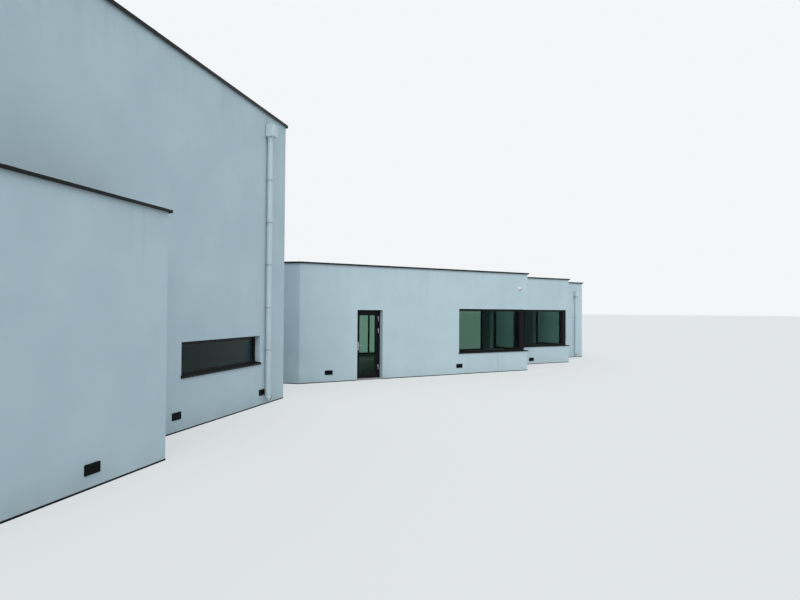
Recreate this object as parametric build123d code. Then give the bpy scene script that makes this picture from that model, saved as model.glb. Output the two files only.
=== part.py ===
from build123d import *
import math
import os

# Detached modern house with flat roofs: white rendered walls, dark metal copings and window frames.
# A two-storey main block stands at 45 degrees to a single-storey garden wing that steps back twice.
# Units are millimetres, +Z is up, and the garden front of the wing faces -Y.
# The origin is under the middle of the whole house, on the ground.

# Heights above the ground
floor_level = 40
wing_wall_top = 3495
main_wall_top = 6560
wing_coping_face = 47
main_coping_face = 70
storey_height = 3120
slab_thickness = 300
parapet_upstand = 335

# Walls in plan
wall = 350
main_turn = 45
main_length = 12600
main_depth = 7000
main_corner = (-10110, -2400)
bay_start = 5945
bay_length = 5200
bay_projection = 960
splay_start = -8750
splay_length = 2400
first_step_depth = 1770
second_bay_length = 4000
second_step_depth = 1880
third_bay_length = 2900
wing_back = 8200
passage_width = 2000
passage_height = 2100

# Copings
coping_overhang = 45
coping_sheet = 12
coping_skirt = 5

# Windows
corner_setback = 85
slit_setback = 115
frame_depth = 70
frame_face = 60
corner_post = 200
glass_thickness = 28
wide_sill = 710
wide_head = 2190
slit_sill = 930
slit_head = 1540
slit_length = 2930
slit_from_corner = 1220
corner_window_length = 3070
corner_window_end = 100
plain_window_length = 2400
rear_window_length = 3200
rear_window_sill = 140
rear_window_first = 4050
rear_window_spacing = 5000
rear_window_count = 3
sill_nose = 28
sill_drip = 20
sill_sheet = 6
sill_ear = 10

# Garden door
door_left = -6890
door_opening_width = 880
door_opening_height = 2090
door_setback = 175
door_frame_face = 60
door_frame_depth = 75
door_gap = 6
door_leaf_thickness = 70
door_stile = 95
door_bottom_rail = 110
threshold_height = 20
hinge_radius = 11
hinge_pin_radius = 4
hinge_bore_gap = 0.5
hinge_height = 150
hinge_pin_short = 10
hinge_heights = (250, 1370, 1750)
hinge_standoff = 14
hinge_leaf_width = 24
hinge_leaf_thickness = 3
handle_height = 1010
handle_plate_height = 260
handle_plate_width = 34
handle_plate_thickness = 9
handle_above_share = 0.4
handle_neck = 40
handle_lever_length = 130
handle_lever_thickness = 18

# Rainwater pipes
pipe_radius = 60
pipe_thickness = 3
pipe_standoff = 82
hopper_sheet = 4
hopper_collar_height = 90
hopper_collar_wall = 8
main_hopper_size = 215
main_hopper_height = 267
main_hopper_top = 6263
main_pipe_from_corner = 975
wing_hopper_size = 180
wing_hopper_height = 215
wing_hopper_top = 3060
wing_pipe_from_corner = 505
wing_pipe_radius = 45
bracket_spacing = 950
bracket_first = 1200
bracket_below_hopper = 996
bracket_height = 30
bracket_thickness = 9
bracket_arm = 16
shoe_rise = 165
shoe_length = 75
shoe_tilt = 68

# Underfloor vents and the wall camera
vent_width = 250
vent_height = 130
vent_bottom = 220
vent_depth = 30
vent_slats = 5
vent_slat_thickness = 6
vent_rim = 16
vent_back = 4
bay_vent_bottom = 170
step_vent_bottom = 130
bay_vent_from_right = 1520
main_vents_from_right = (4400, 1250)
wing_vents_from_corner_1 = (7950, 3180)
wing_vent_from_corner_2 = 2240
camera_from_corner = 390
camera_height = 2940
camera_radius = 58
camera_base = 40
camera_dome_radius = 47
camera_dome_reach = 50
camera_dome_drop = 15


def direction(angle):
    """Unit vector in plan at an angle in degrees from +X."""
    return (math.cos(math.radians(angle)), math.sin(math.radians(angle)))


def along(point, angle, distance):
    """The point that lies a distance away at an angle."""
    step = direction(angle)
    return (point[0] + step[0] * distance, point[1] + step[1] * distance)


def heading(start, end):
    """Angle in degrees of the line from one point to another."""
    return math.degrees(math.atan2(end[1] - start[1], end[0] - start[0]))


def inset(points, distance, closed):
    """Corners of the line parallel to the given one, a distance to its left, mitred at each corner."""
    count = len(points)
    result = []
    for i, point in enumerate(points):
        headings = []
        if closed or i > 0:
            headings.append(heading(points[i - 1], point))
        if closed or i < count - 1:
            headings.append(heading(point, points[(i + 1) % count]))
        normals = [direction(angle + 90) for angle in (headings[0], headings[-1])]
        total = (normals[0][0] + normals[1][0], normals[0][1] + normals[1][1])
        share = 2 * distance / (total[0] ** 2 + total[1] ** 2)
        result.append((point[0] + total[0] * share, point[1] + total[1] * share))
    return result


def prism(points, low, high):
    """Upright solid on a plan outline."""
    outline = make_face(Polyline(*points, close=True))
    return Pos(0, 0, low) * extrude(outline, high - low, dir=(0, 0, 1))


def block(x0, x1, y0, y1, z0, z1):
    """Box between two corners."""
    return Pos((x0 + x1) / 2, (y0 + y1) / 2, (z0 + z1) / 2) * Box(x1 - x0, y1 - y0, z1 - z0)


def tube(radius, low, high):
    """Upright round bar on the local z axis."""
    return Pos(0, 0, (low + high) / 2) * Cylinder(radius, high - low)


def wall_pieces(outer, closed, height):
    """Mitred wall of full thickness for each side of an outer line."""
    inner = inset(outer, wall, closed)
    count = len(outer)
    pieces = []
    for i in range(count if closed else count - 1):
        j = (i + 1) % count
        pieces.append(prism([outer[i], outer[j], inner[j], inner[i]], 0, height))
    return pieces


def coping(outer, closed, top, face):
    """Folded metal capping: a flat sheet with a skirt down each side, mitred at the corners."""
    edges = {
        "outer": inset(outer, -coping_overhang, closed),
        "outer_back": inset(outer, coping_skirt - coping_overhang, closed),
        "inner_back": inset(outer, wall + coping_overhang - coping_skirt, closed),
        "inner": inset(outer, wall + coping_overhang, closed),
    }
    count = len(outer)
    result = None
    for i in range(count if closed else count - 1):
        j = (i + 1) % count

        def strip(near, far, low, high):
            corners = [edges[near][i], edges[near][j], edges[far][j], edges[far][i]]
            return prism(corners, low, high)

        bottom = top + coping_sheet - face
        length = strip("outer", "inner", top, top + coping_sheet)
        length += strip("outer", "outer_back", bottom, top)
        length += strip("inner_back", "inner", bottom, top)
        result = length if result is None else result + length
    return result


def at_wall(start, end):
    """Frame of a wall: origin at its first corner, x along its outer face, y into the wall."""
    return Pos(start[0], start[1], 0) * Rot(0, 0, heading(start, end))


def wall_length(start, end):
    """Length of a wall's outer face."""
    return math.hypot(end[0] - start[0], end[1] - start[1])


def hole(x0, x1, low, high):
    """Box that cuts an opening right through a wall."""
    return block(x0, x1, -1, wall + 1, low, high)


def framed_panes(x0, x1, low, high, setback, count):
    """Window frame with a number of panes side by side, and the panes of glass, in a wall's frame."""
    frame = block(x0, x1, setback, setback + frame_depth, low, high)
    middle = setback + frame_depth / 2
    width = (x1 - x0 - frame_face * (count + 1)) / count
    panes = []
    for i in range(count):
        left = x0 + frame_face + i * (width + frame_face)
        frame -= block(left, left + width, setback - 1, setback + frame_depth + 1,
                       low + frame_face, high - frame_face)
        panes.append(block(left, left + width, middle - glass_thickness / 2, middle + glass_thickness / 2,
                           low + frame_face, high - frame_face))
    return frame, panes


def straight_sill(x0, x1, low, setback):
    """Folded metal sill in front of a window: a sheet, a nose that hangs over the wall, and ears."""
    sheet = block(x0, x1, 0, setback, low, low + sill_sheet)
    nose = block(x0 - sill_ear, x1 + sill_ear, -sill_nose, 0, low, low + sill_sheet)
    drip = block(x0 - sill_ear, x1 + sill_ear, -sill_nose, sill_sheet - sill_nose, low - sill_drip, low)
    return sheet + nose + drip


def corner_window(front, side):
    """Frame, two panes and sill of a window that turns a corner.

    The house corner is the local origin: the front leg runs along -x and the side leg along +y.
    """
    near = corner_setback
    far = corner_setback + frame_depth
    band = [(-front, near), (-near, near), (-near, side), (-far, side), (-far, far), (-front, far)]
    frame = prism(band, wide_sill, wide_sill + frame_face)
    frame += prism(band, wide_head - frame_face, wide_head)
    frame += block(-front, -front + frame_face, near, far, wide_sill, wide_head)
    frame += block(-far, -near, side - frame_face, side, wide_sill, wide_head)
    post = corner_setback + corner_post
    frame += block(-post, -near, near, post, wide_sill, wide_head)
    middle = corner_setback + frame_depth / 2
    low = wide_sill + frame_face
    high = wide_head - frame_face
    half = glass_thickness / 2
    glass = [
        block(-front + frame_face, -post, middle - half, middle + half, low, high),
        block(-middle - half, -middle + half, post, side - frame_face, low, high),
    ]
    edge = [
        (-front - sill_ear, -sill_nose), (sill_nose, -sill_nose), (sill_nose, side + sill_ear),
        (0, side + sill_ear), (0, side), (-near, side), (-near, near), (-front, near),
        (-front, 0), (-front - sill_ear, 0),
    ]
    sill = prism(edge, wide_sill, wide_sill + sill_sheet)
    drip = [
        (-front - sill_ear, -sill_nose), (sill_nose, -sill_nose), (sill_nose, side + sill_ear),
        (sill_nose - sill_sheet, side + sill_ear), (sill_nose - sill_sheet, sill_sheet - sill_nose),
        (-front - sill_ear, sill_sheet - sill_nose),
    ]
    sill += prism(drip, wide_sill - sill_drip, wide_sill)
    return frame, glass, sill


def bracket_levels(top):
    """Heights of the pipe brackets, spread evenly up to a little below the hopper."""
    reach = top - bracket_below_hopper - bracket_first
    count = round(reach / bracket_spacing) + 1
    return [bracket_first + i * reach / (count - 1) for i in range(count)]


def bent_bar(radius, extra, high):
    """Round bar down to the bend of a pipe's shoe and on to its mouth, longer at both ends by an extra."""
    reach = shoe_length + extra
    bar = tube(radius, shoe_rise, high + extra)
    bar += Pos(0, 0, shoe_rise) * Rot(180 - shoe_tilt, 0, 0) * tube(radius, 0, reach)
    return bar + Pos(0, 0, shoe_rise) * Sphere(radius)


def downpipe(radius, high):
    """Round rainwater pipe with a shoe at its foot that throws the water away from the wall."""
    return bent_bar(radius, 0, high) - bent_bar(radius - pipe_thickness, 1, high)


def rain_hopper(size, radius, low, high):
    """Square open-topped hopper against the wall, with an outlet in its floor and a collar on the pipe."""
    sheet = hopper_sheet
    box = block(-size / 2, size / 2, -size, 0, low, high)
    hollow = block(-size / 2 + sheet, size / 2 - sheet, -size + sheet, -sheet, low + sheet, high + 1)
    outlet = tube(radius - pipe_thickness, low - 1, low + sheet + 1)
    collar = tube(radius + hopper_collar_wall, low - hopper_collar_height, low)
    collar -= tube(radius, low - hopper_collar_height - 1, low + 1)
    at_pipe = Pos(0, -pipe_standoff, 0)
    return box - hollow - at_pipe * outlet + at_pipe * collar


def pipe_bracket(radius, standoff, level):
    """Ring round the pipe with an arm back to the wall."""
    ring = Pos(0, -standoff, 0) * (tube(radius + bracket_thickness, level, level + bracket_height)
                                   - tube(radius, level - 1, level + bracket_height + 1))
    arm = block(-bracket_arm / 2, bracket_arm / 2, -standoff + radius + 1, 0, level, level + bracket_height)
    return ring + arm


def vent_grille(x, low):
    """Louvred vent cover on the wall face."""
    outer = block(x, x + vent_width, -vent_depth / 2, 0, low, low + vent_height)
    pocket = block(x + vent_rim, x + vent_width - vent_rim, -vent_depth, -vent_back,
                   low + vent_rim, low + vent_height - vent_rim)
    grille = outer - pocket
    pitch = (vent_height - 2 * vent_rim) / vent_slats
    for i in range(vent_slats):
        level = low + vent_rim + (i + 0.5) * pitch
        grille += block(x + vent_rim - 1, x + vent_width - vent_rim + 1, -vent_depth / 2 + 1, 1 - vent_back,
                        level - vent_slat_thickness / 2, level + vent_slat_thickness / 2)
    return grille


parts = {}

# Outer corners of the main block, going round with the inside on the left
into_house = 90 + main_turn
main_right = main_corner
main_left = along(main_right, 180 + main_turn, main_length)
main_back_right = along(main_right, into_house, main_depth)
main_back_left = along(main_left, into_house, main_depth)
main_outer = [main_left, main_right, main_back_right, main_back_left]

# Outer corners of the low bay on the main block's front
bay_right_root = along(main_right, 180 + main_turn, bay_start)
bay_left_root = along(bay_right_root, 180 + main_turn, bay_length)
bay_right = along(bay_right_root, into_house, -bay_projection)
bay_left = along(bay_left_root, into_house, -bay_projection)
bay_outer = [bay_left_root, bay_left, bay_right, bay_right_root]

# Outer corners of the garden wing and its link to the main block
splay_front = (splay_start, 0)
splay_back = along(splay_front, into_house, splay_length)
across = direction(main_turn)
recess_width = (splay_back[0] - main_right[0]) * across[0] + (splay_back[1] - main_right[1]) * across[1]
link_root = along(splay_back, main_turn, -recess_width)
corner_1 = (0, 0)
inner_1 = (0, first_step_depth)
corner_2 = (second_bay_length, first_step_depth)
inner_2 = (second_bay_length, first_step_depth + second_step_depth)
corner_3 = (second_bay_length + third_bay_length, inner_2[1])
back_right = (corner_3[0], wing_back)
back_run = (wing_back - main_back_right[1]) / across[1]
back_left = along(main_back_right, main_turn, back_run)
wing_outer = [link_root, splay_back, splay_front, corner_1, inner_1, corner_2, inner_2, corner_3,
              back_right, back_left, main_back_right]

roof_top = wing_wall_top - parapet_upstand
main_roof_top = main_wall_top - parapet_upstand
ceiling = roof_top - slab_thickness

# Walls, each mitred to its neighbours
main_front_wall, main_end_wall, main_back_wall, main_far_wall = wall_pieces(main_outer, True, main_wall_top)
bay_left_wall, bay_front_wall, bay_right_wall = wall_pieces(bay_outer, False, wing_wall_top)
(link_front_wall, splay_wall, wing_front, step_return_wall_1, wing_front_wall_2, step_return_wall_2,
 wing_front_wall_3, wing_end_wall, wing_back_wall, link_back_wall) = wall_pieces(wing_outer, False, wing_wall_top)

main_front = at_wall(main_left, main_right)
main_end = at_wall(main_right, main_back_right)
main_back = at_wall(main_back_right, main_back_left)
main_far = at_wall(main_back_left, main_left)
wing_end = at_wall(corner_3, back_right)
wing_rear = at_wall(back_right, back_left)
link_rear = at_wall(back_left, main_back_right)
bay_front = at_wall(bay_left, bay_right)

# Room behind the bay opens into the main block, and the link opens into it through the end wall
bay_opening_left = main_length - bay_start - bay_length + wall
bay_opening_right = main_length - bay_start - wall
main_front_wall -= main_front * hole(bay_opening_left, bay_opening_right, floor_level, ceiling)
link_depth = main_depth - wall - (splay_length + (splay_front[0] - main_right[0]) * direction(into_house)[0]
                                  + (splay_front[1] - main_right[1]) * direction(into_house)[1]) - wall
passage_start = main_depth - wall - link_depth / 2 - passage_width / 2
main_end_wall -= main_end * hole(passage_start, passage_start + passage_width,
                                 floor_level, floor_level + passage_height)

# Slit window in the main block's front
slit_right = main_length - slit_from_corner
slit_left = slit_right - slit_length
main_front_wall -= main_front * hole(slit_left, slit_right, slit_sill, slit_head)
frame, glass = framed_panes(slit_left, slit_right, slit_sill, slit_head, slit_setback, 1)
parts["slit_window_frame"] = main_front * frame
parts["slit_window_glass"] = main_front * glass[0]
parts["slit_window_sill"] = main_front * straight_sill(slit_left, slit_right, slit_sill, slit_setback)

# Garden door opening: the wall is split beside and over it
door_right = door_left + door_opening_width
door_head = floor_level + door_opening_height
left_side = block(splay_start - 2 * wall, door_left, -1, wall + 1, -1, wing_wall_top + 1)
right_side = block(door_right, wall, -1, wall + 1, -1, wing_wall_top + 1)
parts["wing_front_wall_left"] = wing_front & left_side
parts["door_lintel_wall"] = block(door_left, door_right, 0, wall, door_head, wing_wall_top)
wing_front_wall_right = wing_front & right_side
parts["door_threshold"] = block(door_left, door_right, 0, wall, 0, floor_level)

# Corner windows, each cut through two walls that meet at a corner
return_1 = first_step_depth - corner_window_end
return_2 = second_step_depth - corner_window_end
wing_front_wall_right -= block(-corner_window_length, wall + 1, -1, wall + 1, wide_sill, wide_head)
step_return_wall_1 -= block(-wall - 1, 1, -1, return_1, wide_sill, wide_head)
at_corner_2 = Pos(corner_2[0], corner_2[1], 0)
wing_front_wall_2 -= at_corner_2 * block(-corner_window_length, wall + 1, -1, wall + 1, wide_sill, wide_head)
step_return_wall_2 -= at_corner_2 * block(-wall - 1, 1, -1, return_2, wide_sill, wide_head)
frame, glass, sill = corner_window(corner_window_length, return_1)
parts["corner_window_1_frame"] = frame
parts["corner_window_1_glass"] = Compound(glass)
parts["corner_window_1_sill"] = sill
frame, glass, sill = corner_window(corner_window_length, return_2)
parts["corner_window_2_frame"] = at_corner_2 * frame
parts["corner_window_2_glass"] = at_corner_2 * Compound(glass)
parts["corner_window_2_sill"] = at_corner_2 * sill

# Windows on the unseen sides repeat the ones seen: long slits on the main block, wide ones on the wing.
# The wing's back has paired panes down to the floor, which show as bright upright panels through the door.
plain_frames = []
plain_glass = []
plain_sills = []


def add_window(place, x, width, low, high, setback, body, count=1):
    """Cuts a plain window into a wall and keeps its frame, glass and sill."""
    frame, glass = framed_panes(x, x + width, low, high, setback, count)
    plain_frames.append(place * frame)
    plain_glass.extend(place * pane for pane in glass)
    plain_sills.append(place * straight_sill(x, x + width, low, setback))
    return body - place * hole(x, x + width, low, high)


rear_length = wall_length(main_back_right, main_back_left)
side_length = wall_length(main_back_left, main_left)
for storey in range(2):
    low = slit_sill + storey * storey_height
    high = slit_head + storey * storey_height
    for quarter in (1, 3):
        x = rear_length * quarter / 4 - slit_length / 2
        main_back_wall = add_window(main_back, x, slit_length, low, high, slit_setback, main_back_wall)
    x = side_length / 2 - slit_length / 2
    main_far_wall = add_window(main_far, x, slit_length, low, high, slit_setback, main_far_wall)
for i in range(rear_window_count):
    x = rear_window_first + i * rear_window_spacing - rear_window_length / 2
    wing_back_wall = add_window(wing_rear, x, rear_window_length, rear_window_sill, wide_head, corner_setback,
                                wing_back_wall, 2)
link_rear_length = wall_length(back_left, main_back_right)
x = link_rear_length / 2 - plain_window_length / 2
link_back_wall = add_window(link_rear, x, plain_window_length, wide_sill, wide_head, corner_setback,
                            link_back_wall)
wing_end_length = wall_length(corner_3, back_right)
x = wing_end_length / 2 - plain_window_length / 2
wing_end_wall = add_window(wing_end, x, plain_window_length, wide_sill, wide_head, corner_setback,
                           wing_end_wall)
parts["back_window_frames"] = Compound(plain_frames)
parts["back_window_glass"] = Compound(plain_glass)
parts["back_window_sills"] = Compound(plain_sills)

parts["main_front_wall"] = main_front_wall
parts["main_end_wall"] = main_end_wall
parts["main_back_wall"] = main_back_wall
parts["main_far_wall"] = main_far_wall
parts["bay_left_wall"] = bay_left_wall
parts["bay_front_wall"] = bay_front_wall
parts["bay_right_wall"] = bay_right_wall
parts["link_front_wall"] = link_front_wall
parts["splay_wall"] = splay_wall
parts["wing_front_wall_right"] = wing_front_wall_right
parts["step_return_wall_1"] = step_return_wall_1
parts["wing_front_wall_2"] = wing_front_wall_2
parts["step_return_wall_2"] = step_return_wall_2
parts["wing_front_wall_3"] = wing_front_wall_3
parts["wing_end_wall"] = wing_end_wall
parts["wing_back_wall"] = wing_back_wall
parts["link_back_wall"] = link_back_wall

# Floors and flat roofs fill the space between the walls' inner faces
main_inner = inset(main_outer, wall, True)
bay_inner = inset(bay_outer, wall, False)
wing_inner = inset(wing_outer, wall, False)
parts["main_ground_floor"] = prism(main_inner, 0, floor_level)
parts["main_upper_floor"] = prism(main_inner, ceiling, roof_top)
parts["main_roof"] = prism(main_inner, main_roof_top - slab_thickness, main_roof_top)
parts["bay_floor"] = prism(bay_inner, 0, floor_level)
parts["bay_roof"] = prism(bay_inner, ceiling, roof_top)
parts["wing_floor"] = prism(wing_inner, 0, floor_level)
parts["wing_roof"] = prism(wing_inner, ceiling, roof_top)

# Copings on every parapet
parts["main_coping"] = coping(main_outer, True, main_wall_top, main_coping_face)
parts["bay_coping"] = coping(bay_outer, False, wing_wall_top, wing_coping_face)
parts["wing_coping"] = coping(wing_outer, False, wing_wall_top, wing_coping_face)

# Door frame in the opening, with a low threshold bar
frame_front = door_setback
frame_back = door_setback + door_frame_depth
door_frame = block(door_left, door_right, frame_front, frame_back, floor_level, door_head)
door_frame -= block(door_left + door_frame_face, door_right - door_frame_face, frame_front - 1, frame_back + 1,
                    floor_level + threshold_height, door_head - door_frame_face)
parts["door_frame"] = door_frame

# Glazed door leaf that opens outward on hinges at its right side
leaf_left = door_left + door_frame_face + door_gap
leaf_right = door_right - door_frame_face - door_gap
leaf_low = floor_level + threshold_height + door_gap
leaf_high = door_head - door_frame_face - door_gap
leaf_front = door_setback
leaf_back = leaf_front + door_leaf_thickness
glass_low = leaf_low + door_bottom_rail
glass_high = leaf_high - door_stile
door_leaf = block(leaf_left, leaf_right, leaf_front, leaf_back, leaf_low, leaf_high)
door_leaf -= block(leaf_left + door_stile, leaf_right - door_stile, leaf_front - 1, leaf_back + 1,
                   glass_low, glass_high)
leaf_middle = (leaf_front + leaf_back) / 2
parts["door_leaf"] = door_leaf
parts["door_glass"] = block(leaf_left + door_stile, leaf_right - door_stile, leaf_middle - glass_thickness / 2,
                            leaf_middle + glass_thickness / 2, glass_low, glass_high)

# Lift-off hinges: the lower knuckle with the pin is on the frame, the upper one on the leaf
hinge_x = leaf_right + door_gap / 2
hinge_y = leaf_front - hinge_standoff
frame_knuckles = []
leaf_knuckles = []
for height in hinge_heights:
    low = floor_level + height
    half = hinge_height / 2
    knuckle = tube(hinge_radius, low, low + half - hinge_bore_gap)
    knuckle += tube(hinge_pin_radius, low, low + hinge_height - hinge_pin_short)
    knuckle += block(0, hinge_leaf_width, hinge_standoff - hinge_leaf_thickness, hinge_standoff, low, low + half - 1)
    knuckle += block(-2, 4, 0, hinge_standoff, low, low + half - 1)
    frame_knuckles.append(Pos(hinge_x, hinge_y, 0) * knuckle)
    knuckle = tube(hinge_radius, low + half, low + hinge_height)
    knuckle += block(-hinge_leaf_width, -hinge_radius / 2, hinge_standoff - hinge_leaf_thickness, hinge_standoff,
                     low + half + 1, low + hinge_height)
    knuckle += block(-hinge_radius, -hinge_radius / 2, 0, hinge_standoff, low + half + 1, low + hinge_height)
    knuckle -= tube(hinge_pin_radius + hinge_bore_gap, low + half - 1, low + hinge_height - hinge_pin_short + 2)
    leaf_knuckles.append(Pos(hinge_x, hinge_y, 0) * knuckle)
parts["frame_hinges"] = Compound(frame_knuckles)
parts["leaf_hinges"] = Compound(leaf_knuckles)

# Long plate and lever handle on the left stile, outside and inside
handle_x = leaf_left + door_stile / 2
level = floor_level + handle_height
handle = block(handle_x - handle_plate_width / 2, handle_x + handle_plate_width / 2,
               leaf_front - handle_plate_thickness, leaf_front,
               level - handle_plate_height * (1 - handle_above_share),
               level + handle_plate_height * handle_above_share)
handle += Pos(handle_x, leaf_front - handle_plate_thickness, level) * Rot(90, 0, 0) * Pos(
    0, 0, handle_neck / 2) * Cylinder(handle_lever_thickness / 2, handle_neck)
reach = leaf_front - handle_plate_thickness - handle_neck
handle += block(handle_x - handle_lever_thickness / 2, handle_x + handle_lever_length,
                reach - handle_lever_thickness / 2, reach + handle_lever_thickness / 2,
                level - handle_lever_thickness / 2, level + handle_lever_thickness / 2)
inner_handle = mirror(handle, about=Plane.XZ.offset(-leaf_middle))
parts["door_handles"] = Compound([handle, inner_handle])

# Rainwater hoppers, pipes and brackets
main_pipe = main_front * Pos(main_length - main_pipe_from_corner, 0, 0)
wing_pipe = Pos(corner_3[0] - wing_pipe_from_corner, corner_3[1], 0)
main_hopper_low = main_hopper_top - main_hopper_height
wing_hopper_low = wing_hopper_top - wing_hopper_height
parts["rain_hoppers"] = Compound([
    main_pipe * rain_hopper(main_hopper_size, pipe_radius, main_hopper_low, main_hopper_top),
    wing_pipe * rain_hopper(wing_hopper_size, wing_pipe_radius, wing_hopper_low, wing_hopper_top),
])
parts["downpipes"] = Compound([
    main_pipe * Pos(0, -pipe_standoff, 0) * downpipe(pipe_radius, main_hopper_low),
    wing_pipe * Pos(0, -pipe_standoff, 0) * downpipe(wing_pipe_radius, wing_hopper_low),
])
brackets = [main_pipe * pipe_bracket(pipe_radius, pipe_standoff, level)
            for level in bracket_levels(main_hopper_low)]
brackets += [wing_pipe * pipe_bracket(wing_pipe_radius, pipe_standoff, level)
             for level in bracket_levels(wing_hopper_low)]
parts["pipe_brackets"] = Compound(brackets)

# Vent covers low on the walls
vents = [
    bay_front * vent_grille(bay_length - bay_vent_from_right, bay_vent_bottom),
    at_corner_2 * vent_grille(-wing_vent_from_corner_2, step_vent_bottom),
]
vents += [main_front * vent_grille(main_length - distance, vent_bottom) for distance in main_vents_from_right]
vents += [vent_grille(-distance, vent_bottom) for distance in wing_vents_from_corner_1]
parts["vent_grilles"] = Compound(vents)

# Small dome camera on a round base, high on the wing's front wall
camera = Pos(-camera_from_corner, -camera_base / 2, camera_height) * Rot(90, 0, 0) * Cylinder(
    camera_radius, camera_base)
camera += Pos(-camera_from_corner, -camera_dome_reach, camera_height - camera_dome_drop) * Rot(
    90, 0, 0) * Sphere(camera_dome_radius)
parts["wall_camera"] = camera

# The origin goes under the middle of the whole house
whole = Compound(list(parts.values()))
box = whole.bounding_box()
centre = Pos(-(box.min.X + box.max.X) / 2, -(box.min.Y + box.max.Y) / 2, 0)

os.makedirs("parts", exist_ok=True)
for name, part in parts.items():
    export_step(centre * part, f"parts/{name}.step")
print("moved by", centre.position)
print("hinge", centre * Pos(hinge_x, hinge_y, leaf_low))
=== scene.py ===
import bmesh
import bpy
import numpy as np
from mathutils import Matrix, Vector


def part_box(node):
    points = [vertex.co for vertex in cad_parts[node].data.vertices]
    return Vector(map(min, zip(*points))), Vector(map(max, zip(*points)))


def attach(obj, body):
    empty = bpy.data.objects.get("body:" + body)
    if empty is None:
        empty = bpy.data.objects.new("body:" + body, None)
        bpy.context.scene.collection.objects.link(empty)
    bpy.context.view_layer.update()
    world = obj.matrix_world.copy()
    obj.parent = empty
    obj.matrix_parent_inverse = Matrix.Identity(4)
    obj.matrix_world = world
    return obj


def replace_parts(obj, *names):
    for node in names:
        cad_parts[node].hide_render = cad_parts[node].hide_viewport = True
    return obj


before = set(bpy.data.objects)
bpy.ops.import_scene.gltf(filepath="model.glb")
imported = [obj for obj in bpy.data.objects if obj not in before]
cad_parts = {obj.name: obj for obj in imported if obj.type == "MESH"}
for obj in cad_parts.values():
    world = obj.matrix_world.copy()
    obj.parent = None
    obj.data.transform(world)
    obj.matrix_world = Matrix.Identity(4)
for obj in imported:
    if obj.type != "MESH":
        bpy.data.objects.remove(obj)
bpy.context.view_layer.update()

# Camera, floor and light
# The eye is 2.1 m above the foot of the walls and looks along the two-storey wall towards the wing, over
# a plain pale floor in soft daylight. Lengths are in metres, the lens in millimetres, angles in degrees.
EYE = (-6.678, -14.616, 2.100)
LOOK_AZIMUTH = 31.28
LOOK_RISE = 1.064
CAMERA_ROLL = 0.366
FOCAL_LENGTH = 27.045
SENSOR_WIDTH = 36.0
VIEW_END = 1000.0
FLOOR_REACH = 600.0
FLOOR_SIDES = 96
FLOOR_MATT = (0.50, 0.51, 0.52)
FLOOR_EVEN_SHARE = 0.60
DAYLIGHT_TINT = (0.84, 0.93, 1.0)
DAYLIGHT_LEVEL = 0.74
BACKDROP = (0.90, 0.925, 0.94)


def scene_camera():
    """Camera at the eye point: azimuth turns from +Y to the right, rise tilts up, roll turns the picture."""
    data = bpy.data.cameras.new("main_view")
    data.lens = FOCAL_LENGTH
    data.sensor_width = SENSOR_WIDTH
    data.clip_end = VIEW_END
    camera = bpy.data.objects.new("main_view", data)
    turn = Matrix.Rotation(np.radians(-LOOK_AZIMUTH), 4, "Z")
    tilt = Matrix.Rotation(np.radians(90 + LOOK_RISE), 4, "X")
    roll = Matrix.Rotation(np.radians(CAMERA_ROLL), 4, "Z")
    camera.matrix_world = Matrix.Translation(EYE) @ turn @ tilt @ roll
    bpy.context.scene.collection.objects.link(camera)
    bpy.context.scene.camera = camera


def seen_ray(nodes, links):
    """One where a camera, mirror or glass ray ends, else zero: the greatest of three Light Path values."""
    path = nodes.new("ShaderNodeLightPath")
    found = path.outputs["Is Camera Ray"]
    for kind in ("Is Glossy Ray", "Is Transmission Ray"):
        either = nodes.new("ShaderNodeMath")
        either.operation = "MAXIMUM"
        links.new(found, either.inputs[0])
        links.new(path.outputs[kind], either.inputs[1])
        found = either.outputs[0]
    return found


def plain_shader(nodes, kind, colour, strength=None):
    """Shader of a kind in one colour, and of one strength where it shines."""
    shader = nodes.new(kind)
    shader.inputs["Color"].default_value = (*colour, 1)
    if strength is not None:
        shader.inputs["Strength"].default_value = strength
    return shader.outputs[0]


def even_where_seen(tree, output, lit, even, share):
    """Sends a lit shader to the output, with a share of an even one mixed in wherever a seen ray ends."""
    nodes, links = tree.nodes, tree.links
    part = nodes.new("ShaderNodeMath")
    part.operation = "MULTIPLY"
    part.inputs[1].default_value = share
    links.new(seen_ray(nodes, links), part.inputs[0])
    mix = nodes.new("ShaderNodeMixShader")
    links.new(part.outputs[0], mix.inputs["Fac"])
    links.new(lit, mix.inputs[1])
    links.new(even, mix.inputs[2])
    links.new(mix.outputs[0], nodes.new(output).inputs["Surface"])


def backdrop_world():
    """Even cool daylight on the object, and a pale even tone wherever a seen ray ends."""
    world = bpy.data.worlds.new("studio")
    bpy.context.scene.world = world
    world.use_nodes = True
    nodes = world.node_tree.nodes
    nodes.clear()
    daylight = plain_shader(nodes, "ShaderNodeBackground", DAYLIGHT_TINT, DAYLIGHT_LEVEL)
    shown = plain_shader(nodes, "ShaderNodeBackground", BACKDROP, 1.0)
    even_where_seen(world.node_tree, "ShaderNodeOutputWorld", daylight, shown, 1.0)


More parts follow.
